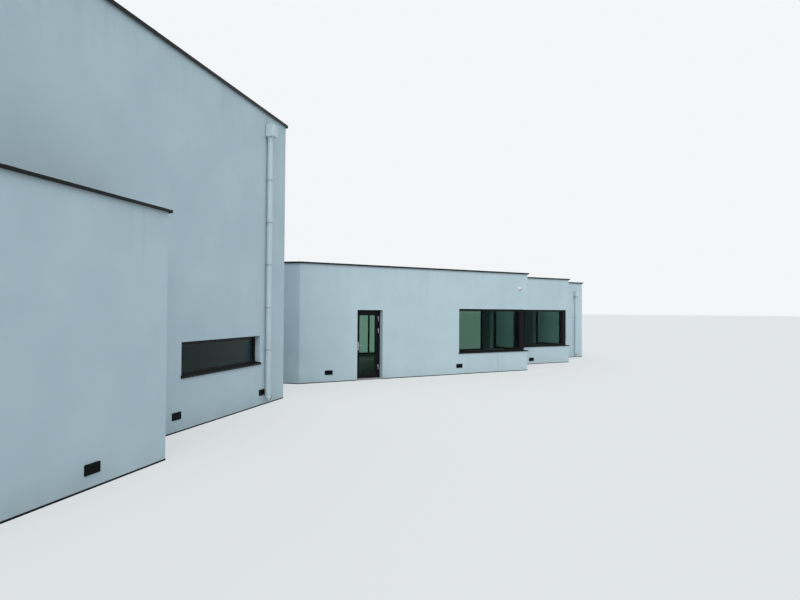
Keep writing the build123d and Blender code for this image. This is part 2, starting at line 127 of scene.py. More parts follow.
def floor_disc():
    """Large round floor: part of what is seen is an even tone, and the rest keeps the shadow."""
    turn = np.linspace(0, 2 * np.pi, FLOOR_SIDES, endpoint=False)
    rim = FLOOR_REACH * np.stack([np.cos(turn), np.sin(turn), 0 * turn], -1)
    mesh = bpy.data.meshes.new("studio_floor")
    mesh.from_pydata(rim.tolist(), [], [tuple(range(FLOOR_SIDES))])
    floor = bpy.data.objects.new("studio_floor", mesh)
    bpy.context.scene.collection.objects.link(floor)
    material = bpy.data.materials.new("studio_floor")
    material.use_nodes = True
    nodes = material.node_tree.nodes
    nodes.clear()
    matt = plain_shader(nodes, "ShaderNodeBsdfDiffuse", FLOOR_MATT)
    even = plain_shader(nodes, "ShaderNodeEmission", BACKDROP, 1.0)
    even_where_seen(material.node_tree, "ShaderNodeOutputMaterial", matt, even, FLOOR_EVEN_SHARE)
    mesh.materials.append(material)


def soft_lamp(name, azimuth, rise, strength, spread, colour):
    """Sun lamp that shines from an azimuth and a height above the horizon, with a wide soft disc."""
    data = bpy.data.lights.new(name, "SUN")
    data.energy = strength
    data.angle = np.radians(spread)
    data.color = colour
    lamp = bpy.data.objects.new(name, data)
    around, up = np.radians(azimuth), np.radians(rise)
    towards = Vector((np.sin(around) * np.cos(up), np.cos(around) * np.cos(up), np.sin(up)))
    lamp.rotation_mode = "QUATERNION"
    lamp.rotation_quaternion = towards.to_track_quat("Z", "Y")
    bpy.context.scene.collection.objects.link(lamp)


bpy.context.scene.view_settings.view_transform = "Standard"
scene_camera()
backdrop_world()
floor_disc()
soft_lamp("key", azimuth=212, rise=42, strength=1.5, spread=50, colour=(1.0, 0.99, 0.97))
soft_lamp("back", azimuth=20, rise=50, strength=0.6, spread=40, colour=(0.95, 0.98, 1.0))

# Plan of the house
# Outer corners of the walls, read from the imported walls. Each wall runs with the rooms on its left,
# and a point in a wall's frame is its distance along the outer face, its depth and its height.
MERGE_DISTANCE = 0.0001
ROUNDING = 0.001


def low_corner(node):
    """Lowest x and y of a node."""
    return np.array(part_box(node)[0][:2])


def high_corner(node):
    """Highest x and y of a node."""
    return np.array(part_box(node)[1][:2])


WALL_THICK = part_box("wing_end_wall")[1][0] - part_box("wing_end_wall")[0][0]
MAIN_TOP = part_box("main_front_wall")[1][2]
WING_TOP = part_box("wing_end_wall")[1][2]
main_left = low_corner("main_front_wall")
main_right = high_corner("main_front_wall")
main_back_right = np.array([low_corner("main_end_wall")[0], high_corner("main_end_wall")[1]])
main_back_left = low_corner("main_back_wall")
bay_left = low_corner("bay_front_wall")
bay_right = high_corner("bay_front_wall")
bay_depth = high_corner("bay_right_wall")[1] - bay_right[1]
bay_left_root = bay_left + bay_depth * np.array([-1.0, 1.0])
bay_right_root = bay_right + bay_depth * np.array([-1.0, 1.0])
splay_front = low_corner("wing_front_wall_left")
splay_run = splay_front[0] - low_corner("splay_wall")[0]
splay_back = splay_front + np.array([-splay_run, splay_run])
link_run = splay_back[1] - low_corner("link_front_wall")[1]
link_root = splay_back - link_run
corner_1 = np.array([high_corner("step_return_wall_1")[0], low_corner("step_return_wall_1")[1]])
corner_2 = np.array([high_corner("step_return_wall_2")[0], low_corner("step_return_wall_2")[1]])
corner_3 = np.array([high_corner("wing_end_wall")[0], low_corner("wing_end_wall")[1]])
inner_1 = np.array([corner_1[0], corner_2[1]])
inner_2 = np.array([corner_2[0], corner_3[1]])
back_right = high_corner("wing_end_wall")
back_left = np.array([low_corner("wing_back_wall")[0], high_corner("wing_back_wall")[1]])
MAIN_LINE = [main_left, main_right, main_back_right, main_back_left]
BAY_LINE = [bay_left_root, bay_left, bay_right, bay_right_root]
WING_LINE = [link_root, splay_back, splay_front, corner_1, inner_1, corner_2, inner_2, corner_3,
             back_right, back_left, main_back_right]


def run_axes(start, end):
    """Frame of a wall: its first corner, the unit vector along its outer face and the one into the wall."""
    along = (end - start) / np.linalg.norm(end - start)
    return start, along, np.array([-along[1], along[0]])


def in_wall(points, axes):
    """World points in a wall's frame: along its face, into the wall, up."""
    origin, along, into = axes
    flat = points[..., :2] - origin
    return np.stack([flat @ along, flat @ into, points[..., 2]], -1)


def from_wall(points, axes):
    """Points of a wall's frame in the world."""
    origin, along, into = axes
    flat = origin + points[..., :1] * along + points[..., 1:2] * into
    return np.concatenate([flat, points[..., 2:]], -1)


ENDS = {
    "main_front": (main_left, main_right),
    "main_end": (main_right, main_back_right),
    "main_back": (main_back_right, main_back_left),
    "main_far": (main_back_left, main_left),
    "bay_front": (bay_left, bay_right),
    "wing_front": (splay_front, corner_1),
    "wing_return_1": (corner_1, inner_1),
    "wing_front_2": (inner_1, corner_2),
    "wing_return_2": (corner_2, inner_2),
    "wing_front_3": (inner_2, corner_3),
    "wing_end": (corner_3, back_right),
    "wing_back": (back_right, back_left),
    "link_back": (back_left, main_back_right),
}
WALLS = {name: run_axes(start, end) for name, (start, end) in ENDS.items()}


def solids_of(node):
    """Corner points of each closed solid of a node, from its mesh with doubles merged."""
    work = bmesh.new()
    work.from_mesh(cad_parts[node].data)
    bmesh.ops.remove_doubles(work, verts=work.verts, dist=MERGE_DISTANCE)
    seen, groups = set(), []
    for vertex in work.verts:
        if vertex in seen:
            continue
        stack, group = [vertex], []
        seen.add(vertex)
        while stack:
            current = stack.pop()
            group.append(tuple(current.co))
            near = [edge.other_vert(current) for edge in current.link_edges]
            fresh = [other for other in near if other not in seen]
            seen.update(fresh)
            stack += fresh
        groups.append(np.array(group))
    work.free()
    return groups


def places(node):
    """Each solid of a node in or on a wall: that wall's frame, and the solid's low and high corners in it."""
    found = []
    for points in solids_of(node):
        choices = []
        for name, (start, end) in ENDS.items():
            there = in_wall(points, WALLS[name])
            low, high = there.min(0), there.max(0)
            beside = low[0] > -WALL_THICK and high[0] < np.linalg.norm(end - start) + WALL_THICK
            if beside and low[1] > -WALL_THICK and high[1] < WALL_THICK + ROUNDING:
                choices.append((high[1] - low[1], name, low, high))
        name, low, high = min(choices, key=lambda choice: choice[0])[1:]
        found.append((WALLS[name], low, high))
    return found


# Rendered walls
# Blockwork with outside insulation under a fine trowelled white render, coloured a cool blue-grey that is
# partly painted shade from the sky. The tone drifts a little from trowel load to trowel load, the foot of
# the wall is splashed, and rain leaves faint runs under the copings.
# Both render tones are white darkened and tinted blue-grey as painted shade, on top of their real drift.
RENDER_PALE_SHADED = (0.515, 0.630, 0.670)
RENDER_DEEP_SHADED = (0.465, 0.582, 0.625)
RENDER_STAIN = (0.34, 0.39, 0.39)
STREAKS_PER_METRE = 5.0
STREAK_STRETCH = 0.16
STREAK_START = 0.05
STREAK_REACH = 1.3
STREAK_SHARE = 0.26
SPLASH_START = 0.02
SPLASH_REACH = 0.38
SPLASH_SHARE = 0.34
TROWELS_PER_METRE = 5.5
TROWEL_DEPTH = 0.004
SAND_DEPTH = 0.0012


def number_group(name, inputs, outputs):
    """Shader node group with number sockets of the given names, its input node and its output node."""
    group = bpy.data.node_groups.new(name, "ShaderNodeTree")
    for side, sockets in (("INPUT", inputs), ("OUTPUT", outputs)):
        for socket in sockets:
            group.interface.new_socket(socket, in_out=side, socket_type="NodeSocketFloat")
    return group, group.nodes.new("NodeGroupInput"), group.nodes.new("NodeGroupOutput")


def variation_group():
    """Shared group: slow patches and fine grain of a surface, from Object coordinates, both 0 to 1."""
    group, given, out = number_group("surface_variation", ("Patch Scale", "Grain Scale"),
                                     ("Patches", "Grain"))
    nodes, links = group.nodes, group.links
    place = nodes.new("ShaderNodeTexCoord")
    for scale, target, detail in (("Patch Scale", "Patches", 5.0), ("Grain Scale", "Grain", 3.0)):
        noise = nodes.new("ShaderNodeTexNoise")
        noise.inputs["Detail"].default_value = detail
        noise.inputs["Roughness"].default_value = 0.55
        links.new(place.outputs["Object"], noise.inputs["Vector"])
        links.new(given.outputs[scale], noise.inputs["Scale"])
        links.new(noise.outputs["Fac"], out.inputs[target])
    return group


VARIATION = variation_group()


def shade(colour, factor):
    """A colour made lighter or darker."""
    return tuple(min(1.0, channel * factor) for channel in colour)


class Surface:
    """Material with one Principled shader, patches and grain at its own scales (one over metres)."""

    def __init__(self, name, roughness, patch_scale, grain_scale):
        self.material = bpy.data.materials.new(name)
        self.material.use_nodes = True
        self.nodes, self.links = self.material.node_tree.nodes, self.material.node_tree.links
        self.inputs = self.nodes["Principled BSDF"].inputs
        self.inputs["Roughness"].default_value = roughness
        scales = {"Patch Scale": patch_scale, "Grain Scale": grain_scale}
        vary = self.add("ShaderNodeGroup", scales, node_tree=VARIATION)
        self.patches, self.grain = vary["Patches"], vary["Grain"]

    def add(self, kind, sockets, **settings):
        """Outputs of a new node with the given settings, and a value or a link for each named socket."""
        node = self.nodes.new(kind)
        for setting, value in settings.items():
            setattr(node, setting, value)
        for socket, value in sockets.items():
            if isinstance(value, bpy.types.NodeSocket):
                self.links.new(value, node.inputs[socket])
            else:
                node.inputs[socket].default_value = value
        return node.outputs

    def ramp(self, value, low, high, to_low=0.0, to_high=1.0):
        """Straight map of a value from one range to another, held at its ends."""
        ends = {"Value": value, "From Min": low, "From Max": high, "To Min": to_low, "To Max": to_high}
        return self.add("ShaderNodeMapRange", ends)["Result"]

    def clouds(self, low=0.3, high=0.7, to_low=0.0, to_high=1.0):
        """The slow patches, mapped from one range to another."""
        return self.ramp(self.patches, low, high, to_low, to_high)

    def blend(self, factor, first, second):
        """Mix of two colours, each a tuple or a socket, by a factor."""
        first, second = ((*each, 1) if isinstance(each, tuple) else each for each in (first, second))
        sockets = {"Factor": factor, "A": first, "B": second}
        return self.add("ShaderNodeMix", sockets, data_type="RGBA")["Result"]

    def product(self, first, second):
        """Product of two values."""
        return self.add("ShaderNodeMath", {0: first, 1: second}, operation="MULTIPLY")[0]

    def feed(self, socket, value):
        """Links a value or colour to a socket of the shader."""
        self.links.new(value, self.inputs[socket])

    def bump(self, height, depth):
        """Bump of a real depth in metres, added on top of any bump that the shader has."""
        sockets = {"Distance": depth, "Height": height}
        if self.inputs["Normal"].links:
            sockets["Normal"] = self.inputs["Normal"].links[0].from_socket
        self.feed("Normal", self.add("ShaderNodeBump", sockets)["Normal"])


def render_finish(name, top):
    """Trowelled render on a wall whose coping is at the given height."""
    surface = Surface(name, roughness=0.88, patch_scale=0.9, grain_scale=260.0)
    colour = surface.blend(surface.clouds(0.33, 0.68), RENDER_PALE_SHADED, RENDER_DEEP_SHADED)
    place = surface.add("ShaderNodeTexCoord", {})["Object"]
    height = surface.add("ShaderNodeSeparateXYZ", {0: place})["Z"]
    stretch = (STREAKS_PER_METRE, STREAKS_PER_METRE, STREAK_STRETCH)
    upright = surface.add("ShaderNodeMapping", {"Vector": place, "Scale": stretch})[0]
    runs = surface.add("ShaderNodeTexNoise", {"Vector": upright, "Scale": 1.0, "Detail": 4.0})["Fac"]
    near_top = surface.ramp(height, top - STREAK_REACH, top - STREAK_START, 0.0, STREAK_SHARE)
    streaks = surface.product(surface.ramp(runs, 0.52, 0.78), near_top)
    colour = surface.blend(streaks, colour, RENDER_STAIN)
    near_foot = surface.ramp(height, SPLASH_START, SPLASH_REACH, SPLASH_SHARE, 0.0)
    splashes = surface.product(near_foot, surface.clouds(0.30, 0.75, 0.3, 1.0))
    surface.feed("Base Color", surface.blend(splashes, colour, RENDER_STAIN))
    waves = {"Vector": place, "Scale": TROWELS_PER_METRE, "Detail": 4.0, "Distortion": 0.6}
    surface.bump(surface.add("ShaderNodeTexNoise", waves)["Fac"], TROWEL_DEPTH)
    surface.bump(surface.grain, SAND_DEPTH)
    return surface.material


def dress(node, material):
    """Gives a carried-over node its finish."""
    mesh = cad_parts[node].data
    mesh.materials.clear()
    mesh.materials.append(material)


MAIN_RENDER = render_finish("white_render_main", MAIN_TOP)
WING_RENDER = render_finish("white_render_wing", WING_TOP)
for wall_node in ("main_front_wall", "main_end_wall", "main_back_wall", "main_far_wall"):
    dress(wall_node, MAIN_RENDER)
for wall_node in ("bay_left_wall", "bay_front_wall", "bay_right_wall", "link_front_wall", "splay_wall",
                  "wing_front_wall_left", "door_lintel_wall", "wing_front_wall_right", "step_return_wall_1",
                  "wing_front_wall_2", "step_return_wall_2", "wing_front_wall_3", "wing_end_wall",
                  "wing_back_wall", "link_back_wall"):
    dress(wall_node, WING_RENDER)

# Floors and ceilings
# Pale screed at the level of the door's threshold, poured, levelled and sealed, and smooth plaster
# trowelled on under the slabs and painted.
SCREED_PALE = (0.36, 0.345, 0.32)
SCREED_DEEP = (0.28, 0.27, 0.25)
PLASTER = (0.60, 0.60, 0.58)


def screed_finish():
    """Levelled and sealed screed with soft clouds."""
    surface = Surface("sealed_screed", roughness=0.5, patch_scale=1.6, grain_scale=90.0)
    surface.feed("Base Color", surface.blend(surface.clouds(), SCREED_PALE, SCREED_DEEP))
    surface.feed("Roughness", surface.clouds(to_low=0.42, to_high=0.62))
    surface.bump(surface.grain, depth=0.0004)
    return surface.material


def ceiling_finish():
    """Smooth emulsion on plaster, with the roller's faint stipple."""
    surface = Surface("ceiling_plaster", roughness=0.9, patch_scale=2.2, grain_scale=120.0)
    surface.feed("Base Color", surface.blend(surface.patches, PLASTER, shade(PLASTER, 0.94)))
    surface.bump(surface.grain, depth=0.0003)
    return surface.material


SCREED = screed_finish()
for floor_node in ("main_ground_floor", "bay_floor", "wing_floor"):
    dress(floor_node, SCREED)
dress("main_upper_floor", ceiling_finish())

# Plinth strip
# A dark coated metal strip closes the render's lower edge along the foot of every outside wall; its dark line
# is partly painted shade of the gap under the render.
# It is folded round the corners and stops on each side of the glazed door.
STRIP_HEIGHT = 0.024
STRIP_PROUD = 0.004
STRIP_FALL = 0.003
ANTHRACITE = (0.011, 0.012, 0.013)
COAT_GLOSS = 0.10
DUST = (0.19, 0.185, 0.17)
DUST_ROUGHNESS = 0.85
BEVEL_STEPS = 2
BEVEL_FROM = 40


def dust_group():
    """Shared group: dust on faces that look up, as the product of two ramps.

    One rises to Amount while the height of the normal goes Steep to Flat. The other goes from Least to 1
    while the patches go Bare to Covered.
    """
    names = ("Patches", "Steep", "Flat", "Amount", "Bare", "Covered", "Least")
    group, given, out = number_group("lying_dust", names, ("Mask",))
    nodes, links = group.nodes, group.links
    normal = nodes.new("ShaderNodeSeparateXYZ")
    links.new(nodes.new("ShaderNodeNewGeometry").outputs["Normal"], normal.inputs[0])
    mask = nodes.new("ShaderNodeMath")
    mask.operation = "MULTIPLY"
    facing = {"From Min": "Steep", "From Max": "Flat", "To Max": "Amount"}
    patchy = {"From Min": "Bare", "From Max": "Covered", "To Min": "Least"}
    for place, value, sockets in ((0, normal.outputs["Z"], facing), (1, given.outputs["Patches"], patchy)):
        ramp = nodes.new("ShaderNodeMapRange")
        links.new(value, ramp.inputs["Value"])
        for target, source in sockets.items():
            links.new(given.outputs[source], ramp.inputs[target])
        links.new(ramp.outputs["Result"], mask.inputs[place])
    links.new(mask.outputs[0], out.inputs["Mask"])
    return group


DUST_GROUP = dust_group()


def lying_dust(surface, steep, flat, amount, bare=0.0, covered=1.0, least=1.0):
    """Mask of the dust on a surface's faces that look up, even where least is one, else in patches."""
    sockets = {"Patches": surface.patches, "Steep": steep, "Flat": flat, "Amount": amount,
               "Bare": bare, "Covered": covered, "Least": least}
    return surface.add("ShaderNodeGroup", sockets, node_tree=DUST_GROUP)["Mask"]


def coated_finish(name, colour, roughness, dust):
    """Matt powder coat: orange peel in its faint gloss, and dust lying on faces that look up."""
    surface = Surface(name, roughness, patch_scale=3.0, grain_scale=700.0)
    surface.inputs["Specular IOR Level"].default_value = COAT_GLOSS
    coat = surface.blend(surface.clouds(), shade(colour, 0.85), colour)
    lying = lying_dust(surface, steep=0.3, flat=1.0, amount=dust, bare=0.36, covered=0.70, least=0.0)
    surface.feed("Base Color", surface.blend(lying, coat, DUST))
    surface.feed("Roughness", surface.ramp(lying, 0.0, 1.0, roughness, DUST_ROUGHNESS))
    surface.bump(surface.grain, depth=0.00012)
    return surface.material


def inset_line(line, distance, closed):
    """Corners of the line parallel to the given one, a distance to its left, mitred at each corner."""
    points = np.array(line)
    steps = np.roll(points, -1, 0) - points
    after = steps / np.linalg.norm(steps, axis=1, keepdims=True)
    before = np.roll(after, 1, 0)
    if not closed:
        before[0] = after[0]
        after[-1] = before[-1]
    left = np.stack([-(after + before)[:, 1], (after + before)[:, 0]], 1)
    return points + left * 2 * distance / (left ** 2).sum(1, keepdims=True)


def skin(rings, closed=False):
    """Shell p(i, j) over a stack of like rings, closed on itself or with a flat end at each end."""
    count, points = rings.shape[:2]
    i, j = np.meshgrid(np.arange(count if closed else count - 1), np.arange(points), indexing="ij")
    up, right = (i + 1) % count, (j + 1) % points
    quads = np.stack([i * points + j, i * points + right, up * points + right, up * points + j], -1)
    faces = quads.reshape(-1, 4).tolist()
    if not closed:
        faces += [list(range(points)), [(count - 1) * points + j for j in range(points)]]
    return rings.reshape(-1, 3), faces


def carried_profile(line, profile, closed):
    """Profile of (distance inside the line, height) points carried along a plan line, mitred at corners."""
    profile = np.array(profile)
    rings = np.stack([inset_line(line, inside, closed) for inside in profile[:, 0]], 1)
    heights = np.broadcast_to(profile[:, 1], rings.shape[:2])[..., None]
    return skin(np.concatenate([rings, heights], -1), closed)


def made_piece(name, parts, material, body="house", bevel=0.0, smooth=0.0):
    """Object at the origin made of closed shells, with its faces outwards, that rides on a body.

    A bevel rounds its hard edges, and a smooth angle in degrees shades flatter edges as one surface.
    """
    vertices = np.concatenate([points for points, faces in parts])
    starts = np.cumsum([0] + [len(points) for points, faces in parts[:-1]])
    faces = [[index + int(start) for index in face]
             for start, part in zip(starts, parts) for face in part[1]]
    mesh = bpy.data.meshes.new(name)
    mesh.from_pydata(vertices.tolist(), [], faces)
    work = bmesh.new()
    work.from_mesh(mesh)
    bmesh.ops.recalc_face_normals(work, faces=work.faces)
    work.to_mesh(mesh)
    work.free()
    mesh.materials.append(material)
    if smooth:
        mesh.shade_smooth()
        mesh.set_sharp_from_angle(angle=np.radians(smooth))
    piece = bpy.data.objects.new(name, mesh)
    bpy.context.scene.collection.objects.link(piece)
    if bevel:
        edge = piece.modifiers.new("edge", "BEVEL")
        edge.width = bevel
        edge.segments = BEVEL_STEPS
        edge.limit_method = "ANGLE"
        edge.angle_limit = np.radians(BEVEL_FROM)
    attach(piece, body)
    return piece


# The strip's dark colour is partly painted shade of the gap at the render's foot.
STRIP_FINISH = coated_finish("plinth_strip", ANTHRACITE, roughness=0.6, dust=0.5)
strip_section = [(0.0, 0.0), (-STRIP_PROUD, 0.0), (-STRIP_PROUD, STRIP_HEIGHT - STRIP_FALL),
                 (0.0, STRIP_HEIGHT)]
lintel_axes, lintel_low, lintel_high = places("door_lintel_wall")[0]
left_of_door, right_of_door = (from_wall(np.array([x, 0.0, 0.0]), lintel_axes)[:2]
                               for x in (lintel_low[0], lintel_high[0]))
strips = [
    [main_left, bay_left_root],
    BAY_LINE,
    [bay_right_root, main_right, link_root],
    [link_root, splay_back, splay_front, left_of_door],
    [right_of_door, corner_1, inner_1, corner_2, inner_2, corner_3, back_right, back_left,
     main_back_right, main_back_left, main_left],
]
made_piece("plinth_strips", [carried_profile(line, strip_section, False) for line in strips],
           STRIP_FINISH)

# Roof membrane
# Grey single-ply membrane with welded laps about a metre apart, turned up inside every parapet under the
# coping. Behind each hopper a flanged sleeve lets the rain out through the parapet.
MEMBRANE = (0.115, 0.122, 0.128)
LAP_PITCH = 1.05
LAP_WIDTH = 0.06
LAP_HEIGHT = 0.003
FILLET = 0.06
UPSTAND_THICK = 0.006
SLEEVE_WIDTH = 0.12
SLEEVE_HEIGHT = 0.075
SLEEVE_FLANGE = 0.03
FLANGE_RIM = 0.004
FLANGE_THICK = 0.006
TUCK = 0.001


def membrane_finish():
    """Weathered membrane above, dull and dusty where water has dried, and smooth plaster below the slab."""
    surface = Surface("roof_membrane", roughness=0.75, patch_scale=0.7, grain_scale=180.0)
    weathered = surface.blend(surface.clouds(0.38, 0.68), MEMBRANE, shade(MEMBRANE, 1.5))
    normal = surface.add("ShaderNodeNewGeometry", {})["Normal"]
    below = surface.ramp(surface.add("ShaderNodeSeparateXYZ", {0: normal})["Z"], -0.5, -0.9)
    surface.feed("Base Color", surface.blend(below, weathered, PLASTER))
    surface.bump(surface.grain, depth=0.0008)
    return surface.material


def bar(x0, x1, y0, y1, z0, z1, axes):
    """Straight bar between two corners of a wall's frame."""
    x, y, z = np.meshgrid([x0, x1], [y0, y1], [z0, z1], indexing="ij")
    corners = from_wall(np.stack([x, y, z], -1).reshape(-1, 3), axes)
    faces = [[0, 1, 3, 2], [4, 6, 7, 5], [0, 4, 5, 1], [2, 3, 7, 6], [0, 2, 6, 4], [1, 5, 7, 3]]
    return corners, faces


def laps(axes, x0, x1, y0, y1, level):
    """Welded laps across a rectangle of roof, from x0 to x1 along a wall and y0 to y1 behind its face."""
    starts = np.arange(x0 + LAP_PITCH, x1 - LAP_WIDTH, LAP_PITCH)
    return [bar(x, x + LAP_WIDTH, y0, y1, level, level + LAP_HEIGHT, axes) for x in starts]


def upstand(line, closed, level, top):
    """Membrane turned up the inside of a parapet, with a small fillet at its foot."""
    outer, inner, foot = WALL_THICK, WALL_THICK + UPSTAND_THICK, WALL_THICK + FILLET
    section = [(outer, level), (outer, top), (inner, top), (inner, level + FILLET),
               (foot, level + LAP_HEIGHT), (foot, level)]
    return carried_profile(line, section, closed)


def square_ring(x0, x1, z0, z1, profile, axes):
    """Closed profile of (distance in, depth) points carried round an upright rectangle, mitred."""
    inset, depth = np.array(profile).T
    x = np.stack([x0 + inset, x1 - inset, x1 - inset, x0 + inset])
    z = np.stack([z0 + inset, z0 + inset, z1 - inset, z1 - inset])
    return skin(from_wall(np.stack([x, np.broadcast_to(depth, x.shape), z], -1), axes), True)


def sleeve(axes, low, high):
    """Flanged mouth of the sleeve behind a hopper, inside the parapet, with a dark plate across its bore as
    painted shade.
    """
    level = main_roof_level if high[2] > WING_TOP else wing_roof_level
    inside = WALL_THICK + UPSTAND_THICK
    middle = (low[0] + high[0]) / 2
    x0, x1 = middle - SLEEVE_WIDTH / 2, middle + SLEEVE_WIDTH / 2
    z0 = level + LAP_HEIGHT + SLEEVE_FLANGE
    z1 = z0 + SLEEVE_HEIGHT
    flange = [(-SLEEVE_FLANGE, inside), (-SLEEVE_FLANGE, inside + FLANGE_RIM), (0.0, inside + FLANGE_THICK),
              (FLANGE_THICK, inside + FLANGE_RIM / 2), (FLANGE_THICK, inside)]
    # The plate across the bore is a dark sheet standing for the shade inside it.
    return [square_ring(x0, x1, z0, z1, flange, axes),
            bar(x0, x1, inside - TUCK, inside + TUCK, z0, z1, axes)]


MEMBRANE_FINISH = membrane_finish()
for roof_node in ("main_roof", "bay_roof", "wing_roof"):
    dress(roof_node, MEMBRANE_FINISH)
main_roof_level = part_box("main_roof")[1][2]
wing_roof_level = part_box("wing_roof")[1][2]
field = WALL_THICK + FILLET
main_run = np.linalg.norm(main_right - main_left)
main_deep = np.linalg.norm(main_back_right - main_right)
bay_run = np.linalg.norm(bay_right - bay_left)
wing_deep = back_right[1] - corner_1[1] - field
wing_runs = [corner[0] - splay_front[0] - WALL_THICK for corner in (corner_1, corner_2, corner_3)]
wing_backs = [corner[1] - corner_1[1] for corner in (corner_1, corner_2, corner_3)]
lap_sheets = laps(WALLS["main_front"], WALL_THICK, main_run - WALL_THICK, field, main_deep - field,
                  main_roof_level)
lap_sheets += laps(WALLS["bay_front"], WALL_THICK, bay_run - WALL_THICK, field, bay_depth, wing_roof_level)
for start, stop, back in zip([0.0, *wing_runs], wing_runs, wing_backs):
    lap_sheets += laps(WALLS["wing_front"], start, stop, back + field, wing_deep, wing_roof_level)
made_piece("roof_laps", lap_sheets, MEMBRANE_FINISH)
made_piece("roof_upstands", [
    upstand(MAIN_LINE, True, main_roof_level, MAIN_TOP),
    upstand(BAY_LINE, False, wing_roof_level, WING_TOP),
    upstand(WING_LINE, False, wing_roof_level, WING_TOP),
], MEMBRANE_FINISH)
HOPPERS = places("rain_hoppers")
made_piece("roof_sleeves", [part for place in HOPPERS for part in sleeve(*place)],
           coated_finish("sleeve_metal", ANTHRACITE, roughness=0.5, dust=0.3))

# Copings
# Folded aluminium cappings, powder coated anthracite, that fall a little inwards so that rain runs to
# the roof. Each length is 3 m at most and meets the next under a narrow strap.
COPING_SHEET = 0.003
COPING_FOLD = 0.004
FOLD_EASE = 0.3
COPING_FALL = 0.008
HEM_RISE = 0.014
HEM_SHEETS = 1.7
STRAP_WIDTH = 0.11
STRAP_PROUD = 0.0015
LENGTH_MOST = 3.0
COPING_FINISH = coated_finish("anthracite_coping", ANTHRACITE, roughness=0.42, dust=0.16)


def capping_section(over, top, face, proud):
    """Section of a capping: hemmed skirts each side, soft folds, and a top that falls inwards."""
    outer, inner = -over - proud, WALL_THICK + over + proud
    high, low = top + proud, top - COPING_FALL + proud
    soft, ease, sheet = COPING_FOLD, COPING_FOLD * FOLD_EASE, COPING_SHEET + proud
    bottom, hem_top, hem = top - face, top - face + HEM_RISE, sheet * HEM_SHEETS
    return [
        (outer, bottom), (outer, high - soft), (outer + ease, high - ease), (outer + soft, high),
        (inner - soft, low), (inner - ease, low - ease), (inner, low - soft), (inner, bottom),
        (inner - hem, bottom), (inner - hem, hem_top), (inner - sheet, hem_top),
        (inner - sheet, low - sheet - soft), (outer + sheet, high - sheet - soft),
        (outer + sheet, hem_top), (outer + hem, hem_top), (outer + hem, bottom),
    ]


def strap_lines(line, closed):
    """Short stretches of a plan line where two lengths of capping meet."""
    stretches = []
    for start, end in zip(line, line[1:] + (line[:1] if closed else [])):
        length = np.linalg.norm(end - start)
        along = (end - start) / length
        half = along * STRAP_WIDTH / 2
        count = int(np.ceil(length / LENGTH_MOST))
        middles = [start + along * length * k / count for k in range(1, count)]
        stretches += [[middle - half, middle + half] for middle in middles]
    return stretches


def capping(name, node, line, closed):
    """Detailed capping that stands for the plain one, with a strap over each joint."""
    low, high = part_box(node)
    top, face = high[2] - STRAP_PROUD, high[2] - low[2] - STRAP_PROUD
    parts = [carried_profile(line, capping_section(COPING_OVER, top, face, 0.0), closed)]
    strap = capping_section(COPING_OVER, top, face, STRAP_PROUD)
    parts += [carried_profile(stretch, strap, False) for stretch in strap_lines(line, closed)]
    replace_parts(made_piece(name, parts, COPING_FINISH, smooth=30), node)


COPING_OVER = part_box("wing_coping")[1][0] - back_right[0] - STRAP_PROUD
capping("main_capping", "main_coping", MAIN_LINE, True)
capping("bay_capping", "bay_coping", BAY_LINE, False)
capping("wing_capping", "wing_coping", WING_LINE, False)

# Window frames and glass
# Aluminium sections, powder coated almost black, with stepped beads outside, black rubber gaskets pressed
# on both faces of the sealed panes, and small covers over the drain slots at the foot.
FRAME_BLACK = (0.006, 0.007, 0.008)
RUBBER_BLACK = (0.010, 0.010, 0.010)
RUBBER_BLOOM = (0.020, 0.020, 0.019)
GLASS_IOR = 1.22
GLINT = (0.06, 0.09, 0.085)
GASKET_WIDTH = 0.007
GASKET_PROUD = 0.004
GASKET_SHOULDER = 0.0025
BEAD_WIDTH = 0.018
BEAD_STEP = 0.003
BEAD_EASE = 0.001
DRAIN_FROM_END = 0.35
DRAIN_LENGTH = 0.034
DRAIN_HALF = 0.004
DRAIN_BELOW = 0.012


def rubber_finish():
    """Black extruded rubber with faint bloom."""
    surface = Surface("glazing_rubber", roughness=0.7, patch_scale=8.0, grain_scale=900.0)
    surface.feed("Base Color", surface.blend(surface.patches, RUBBER_BLACK, RUBBER_BLOOM))
    surface.bump(surface.grain, depth=0.0001)
    return surface.material


def glass_finish(name, body, glint):
    """Sealed double glazing with a tinted body and a tinted reflection. Smears only change its roughness."""
    surface = Surface(name, roughness=0.0, patch_scale=2.5, grain_scale=300.0)
    surface.inputs["Base Color"].default_value = (*body, 1)
    surface.inputs["Transmission Weight"].default_value = 1.0
    surface.inputs["IOR"].default_value = GLASS_IOR
    surface.inputs["Specular Tint"].default_value = (*glint, 1)
    surface.feed("Roughness", surface.clouds(0.55, 0.8, 0.0, 0.03))
    return surface.material


FRAME_FINISH = coated_finish("black_frame", FRAME_BLACK, roughness=0.36, dust=0.05)
RUBBER = rubber_finish()
GLASS = glass_finish("window_glass", body=(0.30, 0.42, 0.36), glint=GLINT)
# The slit's pane has a teal body and reflection tint stronger than the other panes', as a painted reflection.
SLIT_GLASS_PAINTED_REFLECTION = glass_finish("slit_glass_painted_reflection", body=(0.24, 0.44, 0.42), glint=(0.03, 0.17, 0.18))
